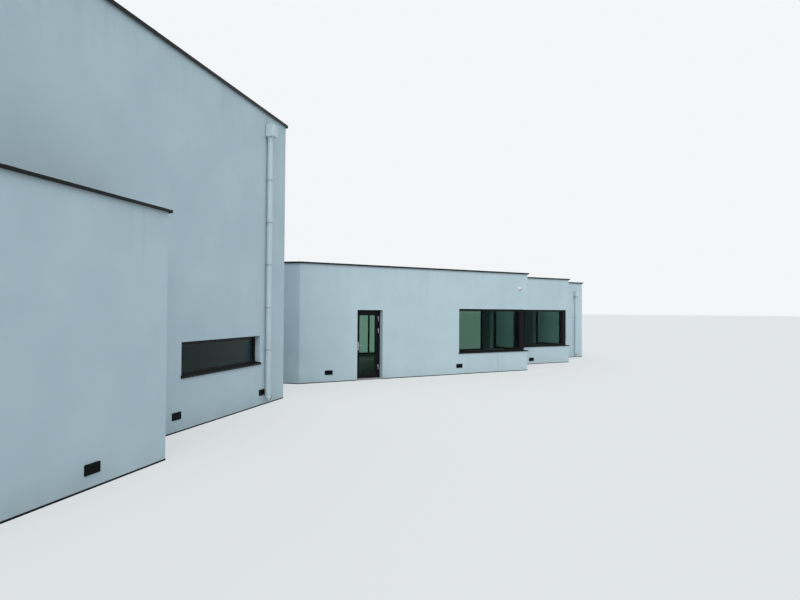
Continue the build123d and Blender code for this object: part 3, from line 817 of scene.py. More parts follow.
# The door's panes have a paler body than the windows' as a painted reflection, for the bright reflections on
# them.
DOOR_GLASS_PAINTED_REFLECTION = glass_finish("door_glass", body=(0.46, 0.64, 0.56), glint=GLINT)
for frame_node in ("slit_window_frame", "corner_window_1_frame", "corner_window_2_frame",
                   "back_window_frames", "door_frame", "door_leaf"):
    dress(frame_node, FRAME_FINISH)
for glass_node in ("corner_window_1_glass", "corner_window_2_glass", "back_window_glass"):
    dress(glass_node, GLASS)
dress("slit_window_glass", SLIT_GLASS_PAINTED_REFLECTION)
dress("door_glass", DOOR_GLASS_PAINTED_REFLECTION)
slit_axes, slit_low, slit_high = places("slit_window_frame")[0]
FRAME_HALF = (slit_high[1] - slit_low[1]) / 2


def gasket(axes, low, high, face, out):
    """Rounded rubber lip round a pane on the face at a depth; out is -1 outside and 1 inside."""
    shoulder, top = face + out * GASKET_SHOULDER, face + out * GASKET_PROUD
    lip = [(0.0, face), (GASKET_WIDTH, face), (GASKET_WIDTH * 0.8, shoulder), (GASKET_WIDTH * 0.35, top),
           (0.0, top)]
    return square_ring(low[0], high[0], low[2], high[2], lip, axes)


def bead(axes, low, high):
    """Stepped bead round the pane, on the frame's outer face."""
    face = (low[1] + high[1]) / 2 - FRAME_HALF
    step = [(-TUCK, face), (-TUCK, face - BEAD_STEP), (BEAD_EASE - BEAD_WIDTH, face - BEAD_STEP),
            (-BEAD_WIDTH, face)]
    return square_ring(low[0], high[0], low[2], high[2], step, axes)


def drains(axes, low, high):
    """Two covers over the drain slots, on the frame's bottom member under a pane."""
    face = (low[1] + high[1]) / 2 - FRAME_HALF
    z = low[2] - BEAD_WIDTH - DRAIN_BELOW
    middles = (low[0] + DRAIN_FROM_END, high[0] - DRAIN_FROM_END)
    return [bar(x - DRAIN_LENGTH / 2, x + DRAIN_LENGTH / 2, face - DRAIN_HALF, face, z - DRAIN_HALF,
                z + DRAIN_HALF, axes)
            for x in middles if high[0] - low[0] > 3 * DRAIN_FROM_END]


for window in ("slit_window", "corner_window_1", "corner_window_2", "back_window", "door"):
    panes = places(window + "_glass")
    body = "door" if window == "door" else "house"
    lips = [gasket(axes, low, high, face, out)
            for axes, low, high in panes for face, out in ((low[1], -1), (high[1], 1))]
    made_piece(window + "_gaskets", lips, RUBBER, body, smooth=50)
    made_piece(window + "_beads", [bead(*pane) for pane in panes], FRAME_FINISH, body)
    if window != "door":
        covers = [cover for pane in panes for cover in drains(*pane)]
        made_piece(window + "_drain_covers", covers, FRAME_FINISH, bevel=0.0015)

# Sills
# Folded sheet, coated like the frames, that falls outwards from a small upstand on the frame, hangs over
# the render with a folded nose, and is closed at each end by an upright cap.
SILL_NOSE = 0.028
SILL_EAR = 0.010
SILL_FALL = 0.09
SILL_DRIP = 0.020
SILL_RAISED = 0.007
SILL_SHEET = 0.0025
NOSE_EASE = 0.003
UPSTAND_SHEET = 0.004
SILL_UPSTAND = 0.014
CAP_RISE = 0.034
CAP_THICK = 0.004
CAP_PAST_NOSE = 0.002
CAP_SLOPE = 0.010
SILL_FINISH = coated_finish("black_sill", (0.008, 0.009, 0.010), roughness=0.34, dust=0.06)


def sill_sections(setback, low):
    """Sections of (depth, height) points of the sheet inside the reveal and of the nose outside it."""
    front = low + SILL_RAISED
    at_wall = front + SILL_NOSE * SILL_FALL
    rise = front + (setback + SILL_NOSE) * SILL_FALL
    upstand_top = rise + SILL_UPSTAND
    drip = low - SILL_DRIP
    sheet = [(0.0, low + TUCK), (0.0, at_wall), (setback - UPSTAND_SHEET, rise),
             (setback - UPSTAND_SHEET, upstand_top), (setback, upstand_top), (setback, low + TUCK)]
    nose = [(0.0, low + TUCK / 2), (0.0, at_wall), (NOSE_EASE - SILL_NOSE, front),
            (0.0008 - SILL_NOSE, front - 0.001), (-SILL_NOSE, front - NOSE_EASE), (-SILL_NOSE, drip),
            (SILL_SHEET - SILL_NOSE, drip), (SILL_SHEET - SILL_NOSE, low + TUCK / 2)]
    return sheet, nose


def run_along(section, x0, x1, axes):
    """Section of (depth, height) points run along a wall from x0 to x1, with flat ends."""
    section = np.array(section)
    rings = np.concatenate([np.full((2, len(section), 1), [[[x0]], [[x1]]]),
                            np.broadcast_to(section, (2, *section.shape))], -1)
    return skin(from_wall(rings, axes))


def end_cap(x, side, setback, low, axes):
    """Upright cap at a sill's end, a thin plate that follows its fall. Its side is -1 left or 1 right."""
    top, drip, nose = low + CAP_RISE, low - SILL_DRIP, -SILL_NOSE - CAP_PAST_NOSE
    inside = [(-TUCK, low), (-TUCK, top), (setback, top + setback * SILL_FALL), (setback, low)]
    outside = [(0.0, drip), (0.0, top), (nose, top - CAP_SLOPE), (nose, drip)]
    ear = x + side * SILL_EAR
    return [run_along(inside, x, x - side * (CAP_THICK - TUCK), axes),
            run_along(outside, ear, ear - side * CAP_THICK, axes)]


def straight_sill(axes, low, high):
    """All the sheets of a straight window's sill."""
    setback, foot = low[1], low[2]
    sheet, nose = sill_sections(setback, foot)
    parts = [run_along(sheet, low[0], high[0], axes),
             run_along(nose, low[0] - SILL_EAR, high[0] + SILL_EAR, axes)]
    return parts + end_cap(low[0], -1, setback, foot, axes) + end_cap(high[0], 1, setback, foot, axes)


def corner_sill(node, front, side):
    """All the sheets of a corner window's sill, mitred at the house corner."""
    low, high = (np.array(corner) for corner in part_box(node))
    corner = side[0]
    setback, foot = low[1] - corner[1], low[2]
    left = np.array([low[0], corner[1]])
    end = np.array([corner[0], high[1]])
    ear = np.array([SILL_EAR, 0.0])
    sheet, nose = sill_sections(setback, foot)
    parts = [carried_profile([left, corner, end], sheet, False),
             carried_profile([left - ear, corner, end + ear[::-1]], nose, False)]
    x_left = in_wall(np.array([*left, 0.0]), front)[0]
    x_end = in_wall(np.array([*end, 0.0]), side)[0]
    return parts + end_cap(x_left, -1, setback, foot, front) + end_cap(x_end, 1, setback, foot, side)


def sill(name, node, parts):
    """Detailed sill that stands for the plain one."""
    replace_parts(made_piece(name, parts, SILL_FINISH), node)


sill("slit_sill_sheets", "slit_window_sill", straight_sill(slit_axes, slit_low, slit_high))
sill("corner_sill_1_sheets", "corner_window_1_sill",
     corner_sill("corner_window_1_frame", WALLS["wing_front"], WALLS["wing_return_1"]))
sill("corner_sill_2_sheets", "corner_window_2_sill",
     corner_sill("corner_window_2_frame", WALLS["wing_front_2"], WALLS["wing_return_2"]))
sill("back_sill_sheets", "back_window_sills",
     [part for window in places("back_window_frames") for part in straight_sill(*window)])

# Movement joint
# A slim twin bead, bedded in the render below corner window 1, lets the wall move without a crack.
# A line of grey sealant closes the gap between its two edges.
JOINT_FROM_CORNER = 1.385
JOINT_EDGE = 0.004
JOINT_GAP = 0.007
JOINT_PROUD = 0.0025
SEALANT_DEEP = (0.13, 0.15, 0.155)
SEALANT_PALE = (0.18, 0.20, 0.205)


def sealant_finish():
    """Grey sealant with a fingered, faintly uneven face."""
    surface = Surface("grey_sealant", roughness=0.6, patch_scale=12.0, grain_scale=200.0)
    surface.feed("Base Color", surface.blend(surface.patches, SEALANT_DEEP, SEALANT_PALE))
    surface.bump(surface.grain, depth=0.0004)
    return surface.material


joint_x = np.linalg.norm(corner_1 - splay_front) - JOINT_FROM_CORNER
joint_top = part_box("corner_window_1_frame")[0][2] - SILL_DRIP
gap_x = joint_x + JOINT_EDGE
joint_edges = [bar(x, x + JOINT_EDGE, -JOINT_PROUD, 0.0, STRIP_HEIGHT, joint_top, WALLS["wing_front"])
               for x in (joint_x, gap_x + JOINT_GAP)]
sealant = bar(gap_x, gap_x + JOINT_GAP, -TUCK, 0.0, STRIP_HEIGHT, joint_top, WALLS["wing_front"])
made_piece("movement_joint_edges", joint_edges, WING_RENDER, bevel=0.001)
made_piece("movement_joint_sealant", [sealant], sealant_finish())

# Glazed door
# Leaf and frame are coated like the windows, and the leaf shuts on a rubber seal in the frame. A sloped
# weather bar sheds rain from the bottom rail, and a ribbed strip lies on the cast threshold before the leaf.
WEATHER_BAR_LOW = 0.012
WEATHER_BAR_RISE = 0.034
WEATHER_BAR_NOSE = 0.026
WEATHER_BAR_SHORT = 0.030
WEATHER_BAR_TOP = 0.004
WEATHER_BAR_LIP = 0.009
WEATHER_BAR_HOLLOW = 0.006
WEATHER_BAR_SHEET = 0.002
SEAL_OUT = 0.006
SEAL_IN = 0.010
SEAL_LIP = 0.002
SEAL_OFF = 0.0015
SEAL_THICK = 0.0035
SEAL_EASE = 0.001
STRIP_RIBS = 6
RIB_PITCH = 0.011
TREAD_THICK = 0.0035
RIB_THICK = 0.0050
TREAD_NOSE = 0.004
CAST_PALE = (0.33, 0.35, 0.35)
CAST_DEEP = (0.24, 0.255, 0.255)


def cast_finish():
    """Cast concrete with soft clouds and a gritty face."""
    surface = Surface("cast_step", roughness=0.8, patch_scale=5.0, grain_scale=320.0)
    surface.feed("Base Color", surface.blend(surface.clouds(), CAST_PALE, CAST_DEEP))
    surface.bump(surface.grain, depth=0.0006)
    return surface.material


def brushed_finish(name, colour, roughness):
    """Brushed metal: fine grain in the gloss, and a slight drift in tone."""
    surface = Surface(name, roughness, patch_scale=9.0, grain_scale=1500.0)
    surface.inputs["Metallic"].default_value = 1.0
    surface.feed("Base Color", surface.blend(surface.patches, shade(colour, 0.94), shade(colour, 1.06)))
    surface.feed("Roughness", surface.ramp(surface.grain, 0.3, 0.7, roughness - 0.06, roughness + 0.08))
    surface.bump(surface.grain, depth=0.00003)
    return surface.material


def weather_bar_section(face, foot):
    """Section of a weather bar: flat back on the leaf's face, sloped top, nose, and hollow underside."""
    top, hollow = foot + WEATHER_BAR_RISE, foot + WEATHER_BAR_HOLLOW
    lip, sheet = foot + WEATHER_BAR_LIP, WEATHER_BAR_SHEET
    slope_end = face - WEATHER_BAR_NOSE
    nose = slope_end - sheet / 2
    return [(face, foot), (face, top), (face - WEATHER_BAR_TOP, top), (slope_end, lip), (nose, lip - sheet),
            (nose, foot), (slope_end + sheet, foot), (slope_end + sheet, hollow), (face - sheet, hollow),
            (face - sheet, foot)]


def seal_section(back):
    """Section of the frame's rubber seal, just off the leaf's back face at a depth."""
    front, rear = back + SEAL_OFF, back + SEAL_OFF + SEAL_THICK
    return [(-SEAL_OUT, front), (-SEAL_OUT, rear), (SEAL_IN - SEAL_LIP, rear), (SEAL_IN, rear - SEAL_EASE),
            (SEAL_IN, front + SEAL_EASE), (SEAL_IN - SEAL_LIP, front)]


def tread_section(face, foot):
    """Section of the tread strip: a thin base with raised ribs, each a short flat between two slopes."""
    starts = face - WEATHER_BAR_TOP - RIB_PITCH * np.arange(STRIP_RIBS + 1)
    depths = (starts[:-1, None] - RIB_PITCH * np.array([0.0, 0.3, 0.5, 0.8])).reshape(-1)
    heights = foot + np.tile([RIB_THICK, RIB_THICK, TREAD_THICK, TREAD_THICK], STRIP_RIBS)
    return [(face, foot), (face, foot + TREAD_THICK), *zip(depths, heights),
            (starts[-1], foot + TREAD_THICK), (starts[-1] - TREAD_NOSE, foot)]


BRIGHT = brushed_finish("brushed_stainless", (0.50, 0.51, 0.52), roughness=0.32)
MILL = brushed_finish("mill_aluminium", (0.46, 0.47, 0.48), roughness=0.42)
dress("door_threshold", cast_finish())
leaf_axes, leaf_low, leaf_high = places("door_leaf")[0]
leaf_face, leaf_back = leaf_low[1], leaf_high[1]
weather_bar = run_along(weather_bar_section(leaf_face, leaf_low[2] + WEATHER_BAR_LOW),
                        leaf_low[0] + WEATHER_BAR_SHORT, leaf_high[0] - WEATHER_BAR_SHORT, leaf_axes)
seal = square_ring(leaf_low[0], leaf_high[0], leaf_low[2], leaf_high[2], seal_section(leaf_back), leaf_axes)
step_axes, step_low, step_high = places("door_threshold")[0]
tread = run_along(tread_section(leaf_face, step_high[2]), step_low[0] + TUCK, step_high[0] - TUCK, step_axes)
made_piece("door_weather_bar", [weather_bar], FRAME_FINISH, "door")
made_piece("door_frame_seal", [seal], RUBBER, smooth=50)
made_piece("door_tread_strip", [tread], MILL)

# Lever handles
# Brushed stainless: a long plate with round ends, a lever bent from round bar that thins towards its tip,
# and a profile cylinder under it, outside and inside.
PLATE_WIDTH = 0.034
PLATE_LENGTH = 0.260
PLATE_THICK = 0.009
PLATE_ROUND = 0.016
PLATE_EASE = 0.002
LEVER_ABOVE_FOOT = 0.156
LEVER_RADIUS = 0.009
LEVER_REACH = 0.130
LEVER_NECK = 0.040
LEVER_BEND = 0.016
LEVER_TIP = 0.006
ROSE_RADIUS = 0.0145
ROSE_THICK = 0.006
ROSE_EASE = 0.002
CYLINDER_BELOW = 0.072
CYLINDER_WIDTH = 0.017
CYLINDER_STEM = 0.010
CYLINDER_LONG = 0.033
CYLINDER_ROUND = 0.0045
CYLINDER_PROUD = 0.003
CYLINDER_EASE = 0.0008
PLUG_ABOVE_MIDDLE = 0.008
PLUG_EASE = 0.001
KEYWAY = 0.003
SMALLEST_ROUND = 0.0004


def rounded_outline(x0, x1, z0, z1, radius, steps=8):
    """Upright rectangle with round corners: each corner's centre plus radius times (cos, sin) of an angle."""
    angle = np.radians(np.linspace(0, 90, steps)) + np.radians([0, 90, 180, 270])[:, None]
    centre_x = np.array([x1 - radius, x0 + radius, x0 + radius, x1 - radius])[:, None]
    centre_z = np.array([z1 - radius, z1 - radius, z0 + radius, z0 + radius])[:, None]
    outline = np.stack([centre_x + radius * np.cos(angle), centre_z + radius * np.sin(angle)], -1)
    return outline.reshape(-1, 2)


def plate(x0, x1, z0, z1, radius, profile, axes, closed=False):
    """Rounded plate on a wall: its outline at each (distance in from the edge, depth) of the profile."""
    rings = []
    for inset, depth in profile:
        corner = max(radius - inset, SMALLEST_ROUND)
        outline = rounded_outline(x0 + inset, x1 - inset, z0 + inset, z1 - inset, corner)
        rings.append(np.insert(outline, 1, depth, axis=1))
    return skin(from_wall(np.array(rings), axes), closed)


def circles(profile, count):
    """Rings of a turned form: radius cos t, radius sin t and place on the axis, for each profile point."""
    turn = np.linspace(0, 2 * np.pi, count, endpoint=False)
    radius, place = np.array(profile).T[..., None]
    return radius * np.cos(turn), radius * np.sin(turn), place + 0 * turn


def turned_out(x, z, profile, axes, count=28):
    """Form turned on an axis square to the wall, from a profile of (radius, depth) points."""
    across, up, depth = circles(profile, count)
    return skin(from_wall(np.stack([x + across, depth, z + up], -1), axes))


def swept_rings(path, radii, across, axes, count=28):
    """Rings square to a plane path: centre plus radius times (cos t across + sin t normal)."""
    path = np.array(path)
    ahead = np.gradient(path, axis=0)
    ahead /= np.linalg.norm(ahead, axis=1, keepdims=True)
    normal = np.cross(ahead, across)
    turn = np.linspace(0, 2 * np.pi, count, endpoint=False)[:, None]
    radii = np.array(radii)[:, None, None]
    rings = path[:, None] + radii * (np.cos(turn) * np.array(across) + np.sin(turn) * normal[:, None])
    return from_wall(rings, axes)


def bend(start, corner, end, radius, steps=10):
    """Path from start to end with its corner rounded: the arc tangent to both legs at a radius."""
    start, corner, end = (np.array(point, dtype=float) for point in (start, corner, end))
    back, on = start - corner, end - corner
    back /= np.linalg.norm(back)
    on /= np.linalg.norm(on)
    half = np.arccos(np.clip(back @ on, -1, 1)) / 2
    reach = radius / np.tan(half)
    centre = corner + (back + on) / np.linalg.norm(back + on) * radius / np.sin(half)
    first, last = corner + back * reach - centre, corner + on * reach - centre
    total = np.pi - 2 * half
    share = np.linspace(0, 1, steps)[:, None]
    arc = centre + (np.sin((1 - share) * total) * first + np.sin(share * total) * last) / np.sin(total)
    return [start, *arc, end]


def lever(axes, x, z, front, out):
    """Lever bent from round bar: a neck straight out, a bend, and an arm that thins to its tip."""
    reach, arm_end = front + out * LEVER_NECK, x + LEVER_REACH - LEVER_TIP
    path = bend((x, front, z), (x, reach, z), (arm_end, reach, z), LEVER_BEND)
    tip = [(arm_end + LEVER_TIP * share, reach, z) for share in (0.5, 0.85, 1.0)]
    shares = [1.0] * (len(path) - 1) + [0.86, 0.76, 0.5, 0.12]
    return skin(swept_rings(path + tip, LEVER_RADIUS * np.array(shares), (0, 0, 1), axes))


def handle(axes, face, out, x, z):
    """Plate, rose, lever and cylinder on a face at the given depth; out is -1 outside and 1 inside."""
    front = face + out * PLATE_THICK
    foot = z - LEVER_ABOVE_FOOT
    edge = [(0.0, face), (0.0, front - out * PLATE_EASE),
            (PLATE_EASE * 0.35, front - out * PLATE_EASE * 0.3), (PLATE_EASE, front)]
    rose_top, lock_top = front + out * ROSE_THICK, front + out * CYLINDER_PROUD
    rose = [(ROSE_RADIUS, front), (ROSE_RADIUS, rose_top - out * ROSE_EASE),
            (ROSE_RADIUS - ROSE_EASE * 0.75, rose_top), (LEVER_RADIUS, rose_top)]
    lock = z - CYLINDER_BELOW
    lock_edge = [(0.0, front - out * TUCK), (0.0, lock_top - out * CYLINDER_EASE * 0.75),
                 (CYLINDER_EASE, lock_top)]
    plug_top = lock_top + out * CYLINDER_EASE
    plug = [(CYLINDER_WIDTH / 2, front), (CYLINDER_WIDTH / 2, lock_top),
            (CYLINDER_WIDTH / 2 - PLUG_EASE, plug_top), (KEYWAY, plug_top)]
    return [
        plate(x - PLATE_WIDTH / 2, x + PLATE_WIDTH / 2, foot, foot + PLATE_LENGTH, PLATE_ROUND, edge, axes),
        turned_out(x, z, rose, axes),
        lever(axes, x, z, front, out),
        plate(x - CYLINDER_STEM / 2, x + CYLINDER_STEM / 2, lock - CYLINDER_LONG / 2,
              lock + CYLINDER_LONG / 2, CYLINDER_ROUND, lock_edge, axes),
        turned_out(x, lock + PLUG_ABOVE_MIDDLE, plug, axes),
    ]


handles = []
for axes, low, high in places("door_handles"):
    face, out = (leaf_face, -1) if low[1] < leaf_face else (leaf_back, 1)
    handles += handle(axes, face, out, low[0] + PLATE_WIDTH / 2, low[2] + LEVER_ABOVE_FOOT)
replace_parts(made_piece("door_lever_handles", handles, BRIGHT, "door", smooth=35),
            "door_handles")

# Door hinges
# Lift-off hinges of brushed stainless: two turned knuckles with domed ends, one above the other with a
# thin gap between them, each on a short arm to a flap with two countersunk screws.
KNUCKLE_RADIUS = 0.011
KNUCKLE_DOME = 0.004
KNUCKLE_EASE = 0.0006
KNUCKLE_TOP = 0.002
FRAME_KNUCKLE_HEIGHT = 0.075
BEARING_GAP = 0.001
ARM_IN = 0.0045
ARM_OUT = 0.0095
ARM_SHORT = 0.004
FLAP_REACH = 0.024
FLAP_THICK = 0.003
FLAP_SHORT = 0.003
FLAP_ROUND = 0.004
SCREW_REACH = 0.0165
SCREW_FROM_END = 0.020


def turned_up(x, y, profile, axes, count=32, closed=False):
    """Form turned on an upright axis, from a profile of (radius, height) points."""
    across, into, height = circles(profile, count)
    return skin(from_wall(np.stack([x + across, y + into, height], -1), axes), closed)


def knuckle(x, y, low, high, domed_low, axes):
    """Turned barrel with one domed end and one flat end where it meets its partner."""
    r, dome = KNUCKLE_RADIUS, KNUCKLE_DOME
    arc = np.radians(np.linspace(0, 80, 7))
    cap = np.stack([r - dome + dome * np.cos(arc), high - dome + dome * np.sin(arc)], 1)
    barrel = np.concatenate([[(r - KNUCKLE_EASE, low), (r, low + KNUCKLE_EASE)], cap, [(KNUCKLE_TOP, high)]])
    if domed_low:
        barrel[:, 1] = low + high - barrel[:, 1]
    return turned_up(x, y, barrel, axes)


def hinge_half(x, y, low, high, side, axes):
    """One half of a hinge: knuckle, arm, flap and screws. Its side is 1 to the right and -1 to the left."""
    arm = sorted((x + side * ARM_IN, x + side * ARM_OUT))
    flap = sorted((x + side * ARM_IN, x + side * FLAP_REACH))
    top = leaf_face - FLAP_THICK
    flap_edge = [(0.0, leaf_face), (0.0, top + KNUCKLE_EASE), (KNUCKLE_EASE, top)]
    screw = [(0.0042, top), (0.0040, top - 0.0006), (0.0022, top - 0.0009), (0.0020, top - 0.0003)]
    parts = [knuckle(x, y, low, high, side > 0, axes),
             bar(*arm, y, leaf_face, low + ARM_SHORT, high - ARM_SHORT, axes),
             plate(*flap, low + FLAP_SHORT, high - FLAP_SHORT, FLAP_ROUND, flap_edge, axes)]
    parts += [turned_out(x + side * SCREW_REACH, z, screw, axes, 20)
              for z in (low + SCREW_FROM_END, high - SCREW_FROM_END)]
    return parts


for node, side, body in (("frame_hinges", 1, "house"), ("leaf_hinges", -1, "door")):
    halves = []
    for axes, low, high in places(node):
        if side > 0:
            x, ends = low[0] + KNUCKLE_RADIUS, (low[2], low[2] + FRAME_KNUCKLE_HEIGHT - BEARING_GAP)
        else:
            x, ends = high[0] - KNUCKLE_RADIUS, (low[2], high[2])
        halves += hinge_half(x, low[1] + KNUCKLE_RADIUS, *ends, side, axes)
    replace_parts(made_piece(node + "_turned", halves, BRIGHT, body, smooth=35), node)

# Rainwater goods
# Aluminium painted in a cool off-white near the wall's, whose blue-grey is partly painted shade: square
# hoppers with a rolled rim, drawn in to a collar, and round pipes in lengths with sockets, held off the
# wall by clamped rings and ending in a shoe. The rings are darker as painted shade, and the rim at the
# shoe's mouth is paler as a painted highlight.
# The pipes' off-white is darkened and tinted blue-grey as painted shade.
PIPE_PAINT_SHADED = (0.540, 0.640, 0.675)
RIM_PAINTED_HIGHLIGHT = (0.86, 0.89, 0.90)
HOPPER_SHEET = 0.004
HOPPER_SQUARE = 14.0
HOPPER_SIDES = 96
COLLAR_WALL = 0.008
COLLAR_HEIGHT = 0.090
PIPE_STANDOFF = 0.082
PIPE_SHEET = 0.003
PIPE_LENGTH_MOST = 2.2
SOCKET_WALL = 0.0045
SOCKET_HEIGHT = 0.070
SOCKET_ABOVE_BEND = 0.020
SHOE_RISE = 0.156
SHOE_LENGTH = 0.075
SHOE_TILT = 68
SHOE_BEND = 1.08
MOUTH_BEAD = 0.003
RIM_PROUD = 0.008
RIM_EASE = 0.002
RIM_LENGTH = 0.015
BAND_THICK = 0.005
EAR_REACH = 0.025
EAR_HALF = 0.0045
EAR_ROUND = 0.006
BAND_EASE = 0.001
STEM_RADIUS = 0.0065
ROSETTE_RADIUS = 0.026
WASHER_RADIUS = 0.0068
WASHER_THICK = 0.001
BOLT_RADIUS = 0.0050
BOLT_OUT = 0.62


def painted_finish(name, colour):
    """Metal paint with a soft gloss, a drifting tone, and dust on the faces that look up."""
    surface = Surface(name, roughness=0.38, patch_scale=2.6, grain_scale=420.0)
    paint = surface.blend(surface.clouds(), shade(colour, 0.93), colour)
    lying = lying_dust(surface, steep=0.4, flat=1.0, amount=0.5)
    surface.feed("Base Color", surface.blend(lying, paint, DUST))
    surface.bump(surface.grain, depth=0.00015)
    return surface.material


def superellipse(half, power, count):
    """Rounded square: half times sign(cos t) |cos t|^(2/p), and the same with sin t."""
    turn = np.linspace(0, 2 * np.pi, count, endpoint=False)
    cos, sin = np.cos(turn), np.sin(turn)
    return np.stack([half * np.sign(cos) * np.abs(cos) ** (2 / power),
                     half * np.sign(sin) * np.abs(sin) ** (2 / power)], -1)


def hopper(axes, low, high, radius):
    """Hopper as one closed skin: up the outside from the collar to the rolled rim, then down the inside.

    Each level is a superellipse, given by its height, half width, middle depth and power: 2 is round.
    """
    x, half = (low[0] + high[0]) / 2, (high[0] - low[0]) / 2
    foot, box, top = low[2], low[2] + COLLAR_HEIGHT, high[2]
    at_pipe, centre, square = -PIPE_STANDOFF, -half, HOPPER_SQUARE
    collar, neck = radius + COLLAR_WALL, radius + COLLAR_WALL - 0.003
    panel, bore = half - HOPPER_SHEET, radius - PIPE_SHEET
    levels = [
        (foot, collar - 0.001, at_pipe, 2.0), (foot + 0.001, collar, at_pipe, 2.0),
        (foot + 0.016, collar, at_pipe, 2.0), (foot + 0.018, neck, at_pipe, 2.0),
        (box - 0.030, neck, at_pipe, 2.0), (box - 0.018, collar + 0.003, at_pipe, 2.3),
        (box - 0.006, half - 0.020, centre + 0.004, 5.0), (box, half - 0.0085, centre, 9.0),
        (box + 0.002, half - 0.0015, centre, square), (box + 0.006, half, centre, square),
        (box + 0.022, half, centre, square), (box + 0.025, panel, centre, square),
        (top - 0.026, panel, centre, square), (top - 0.022, half, centre, square),
        (top - 0.002, half, centre, square), (top, half - 0.002, centre, square),
        (top, panel - 0.004, centre, square), (top - 0.004, panel - 0.006, centre, square),
        (box + 0.012, panel - 0.006, centre, square), (box, half - 0.018, centre, 9.0),
        (box - 0.004, bore + 0.012, at_pipe, 3.0), (box - 0.010, bore, at_pipe, 2.0),
        (foot, bore, at_pipe, 2.0),
    ]
    rings = []
    for height, reach, middle, power in levels:
        outline = superellipse(reach, power, HOPPER_SIDES) + np.array([x, middle])
        rings.append(np.insert(outline, 2, height, axis=1))
    return skin(from_wall(np.array(rings), axes), True)


def shoe_line(x):
    """Corner of the shoe's bend under a pipe, and the middle of its mouth, down and out from there."""
    corner, tilt = np.array([x, -PIPE_STANDOFF, SHOE_RISE]), np.radians(SHOE_TILT)
    return corner, corner + SHOE_LENGTH * np.array([0.0, -np.sin(tilt), -np.cos(tilt)])


def tube(outer_path, outer_radii, bore_path, bore_radii, axes, count=28):
    """Round tube as one closed skin: along its outside, then back down its bore."""
    outside = swept_rings(outer_path, outer_radii, (1, 0, 0), axes, count)
    bore = swept_rings(bore_path, bore_radii, (1, 0, 0), axes, count)[::-1]
    return skin(np.concatenate([outside, bore]), True)


def pipe(axes, top, x, radius):
    """Round pipe and its shoe, with a bead at the mouth and a socket at the foot of each length."""
    corner, mouth = shoe_line(x)
    up = corner + np.array([0.0, 0.0, top - SHOE_RISE])
    path = bend(mouth, corner, up, radius * SHOE_BEND, 14)
    rim = [mouth + (path[1] - mouth) * share for share in (0.0, 0.02, 0.30, 0.34)]
    lowest = path[-2][2] + SOCKET_ABOVE_BEND
    count = int(np.ceil((top - lowest) / PIPE_LENGTH_MOST))
    levels = [lowest] + [lowest + (top - lowest) * k / count for k in range(1, count)]
    swelling = [(0.0, 0.0), (0.001, 0.8), (0.003, 1.0), (SOCKET_HEIGHT - 0.004, 1.0),
                (SOCKET_HEIGHT - 0.001, 0.7), (SOCKET_HEIGHT, 0.0)]
    shaft = [np.array([x, -PIPE_STANDOFF, level + rise]) for level in levels for rise, extra in swelling]
    swell = [radius + SOCKET_WALL * extra for level in levels for rise, extra in swelling]
    outer = [radius + MOUTH_BEAD * share for share in (0.5, 1.0, 1.0, 0.0)] + [radius] * (len(path) - 2)
    return tube(rim + path[1:-1] + shaft + [up], outer + swell + [radius],
                path, [radius - PIPE_SHEET] * len(path), axes)


def mouth_rim(axes, x, radius):
    """Rolled rim round the mouth of a shoe, paler than the pipe as a painted highlight."""
    corner, mouth = shoe_line(x)
    back = (corner - mouth) / SHOE_LENGTH
    path = [mouth + back * step for step in (0.0, RIM_EASE, RIM_LENGTH - RIM_EASE, RIM_LENGTH)]
    outer, inner = radius + RIM_PROUD, radius - PIPE_SHEET - TUCK
    return tube(path, [outer - RIM_EASE, outer, outer, outer - RIM_EASE],
                path, [inner + TUCK, inner, inner, inner + TUCK], axes, 40)


def ring_bracket(axes, low, high, x, radius):
    """Clamped ring round a pipe, with an ear each side, a stem and a rosette on the wall."""
    y, inner, outer = -PIPE_STANDOFF, radius, radius + BAND_THICK
    z0, z1 = low[2], high[2]
    middle = (z0 + z1) / 2
    band = [(inner, z0), (outer - BAND_EASE, z0), (outer, z0 + BAND_EASE), (outer, z1 - BAND_EASE),
            (outer - BAND_EASE, z1), (inner, z1)]
    ear_edge = [(0.0, y + EAR_HALF), (0.0, y - EAR_HALF + 0.0006), (0.0006, y - EAR_HALF)]
    stem = [(STEM_RADIUS, y + outer - 0.002), (STEM_RADIUS, -0.004)]
    rosette = [(0.009, -0.0095), (0.013, -0.007), (ROSETTE_RADIUS - 0.003, -0.0055),
               (ROSETTE_RADIUS, -0.003), (ROSETTE_RADIUS, 0.0)]
    parts = [turned_up(x, y, band, axes, 48, True)]
    for side in (-1, 1):
        ear = sorted((x + side * (outer - TUCK), x + side * (radius + EAR_REACH)))
        parts.append(plate(*ear, z0, z1, EAR_ROUND, ear_edge, axes))
    return parts + [turned_out(x, middle, stem, axes, 20), turned_out(x, middle, rosette, axes, 32)]


def ear_bolts(axes, low, high, x, radius):
    """Hexagon bolt through each ear, with a washer under its head in front and under its nut behind."""
    middle = (low[2] + high[2]) / 2
    parts = []
    for side in (-1, 1):
        place = x + side * (radius + EAR_REACH * BOLT_OUT)
        for out, deep in ((-1, 0.0045), (1, 0.004)):
            base = -PIPE_STANDOFF + out * EAR_HALF
            on_washer = base + out * WASHER_THICK
            washer = [(WASHER_RADIUS, base), (WASHER_RADIUS, on_washer)]
            hexagon = [(BOLT_RADIUS, on_washer), (BOLT_RADIUS, base + out * (deep - 0.0005)),
                       (BOLT_RADIUS - 0.0008, base + out * deep)]
            parts.append(turned_out(place, middle, washer, axes, 24))
            parts.append(turned_out(place, middle, hexagon, axes, 6))
    return parts


PIPE_FINISH = painted_finish("pipe_paint_shaded", PIPE_PAINT_SHADED)
# The rings' paint is the pipes' made darker as painted shade, for the shadow line under each ring.
BRACKET_SHADED_FINISH = painted_finish("bracket_painted_shade", shade(PIPE_PAINT_SHADED, 0.68))
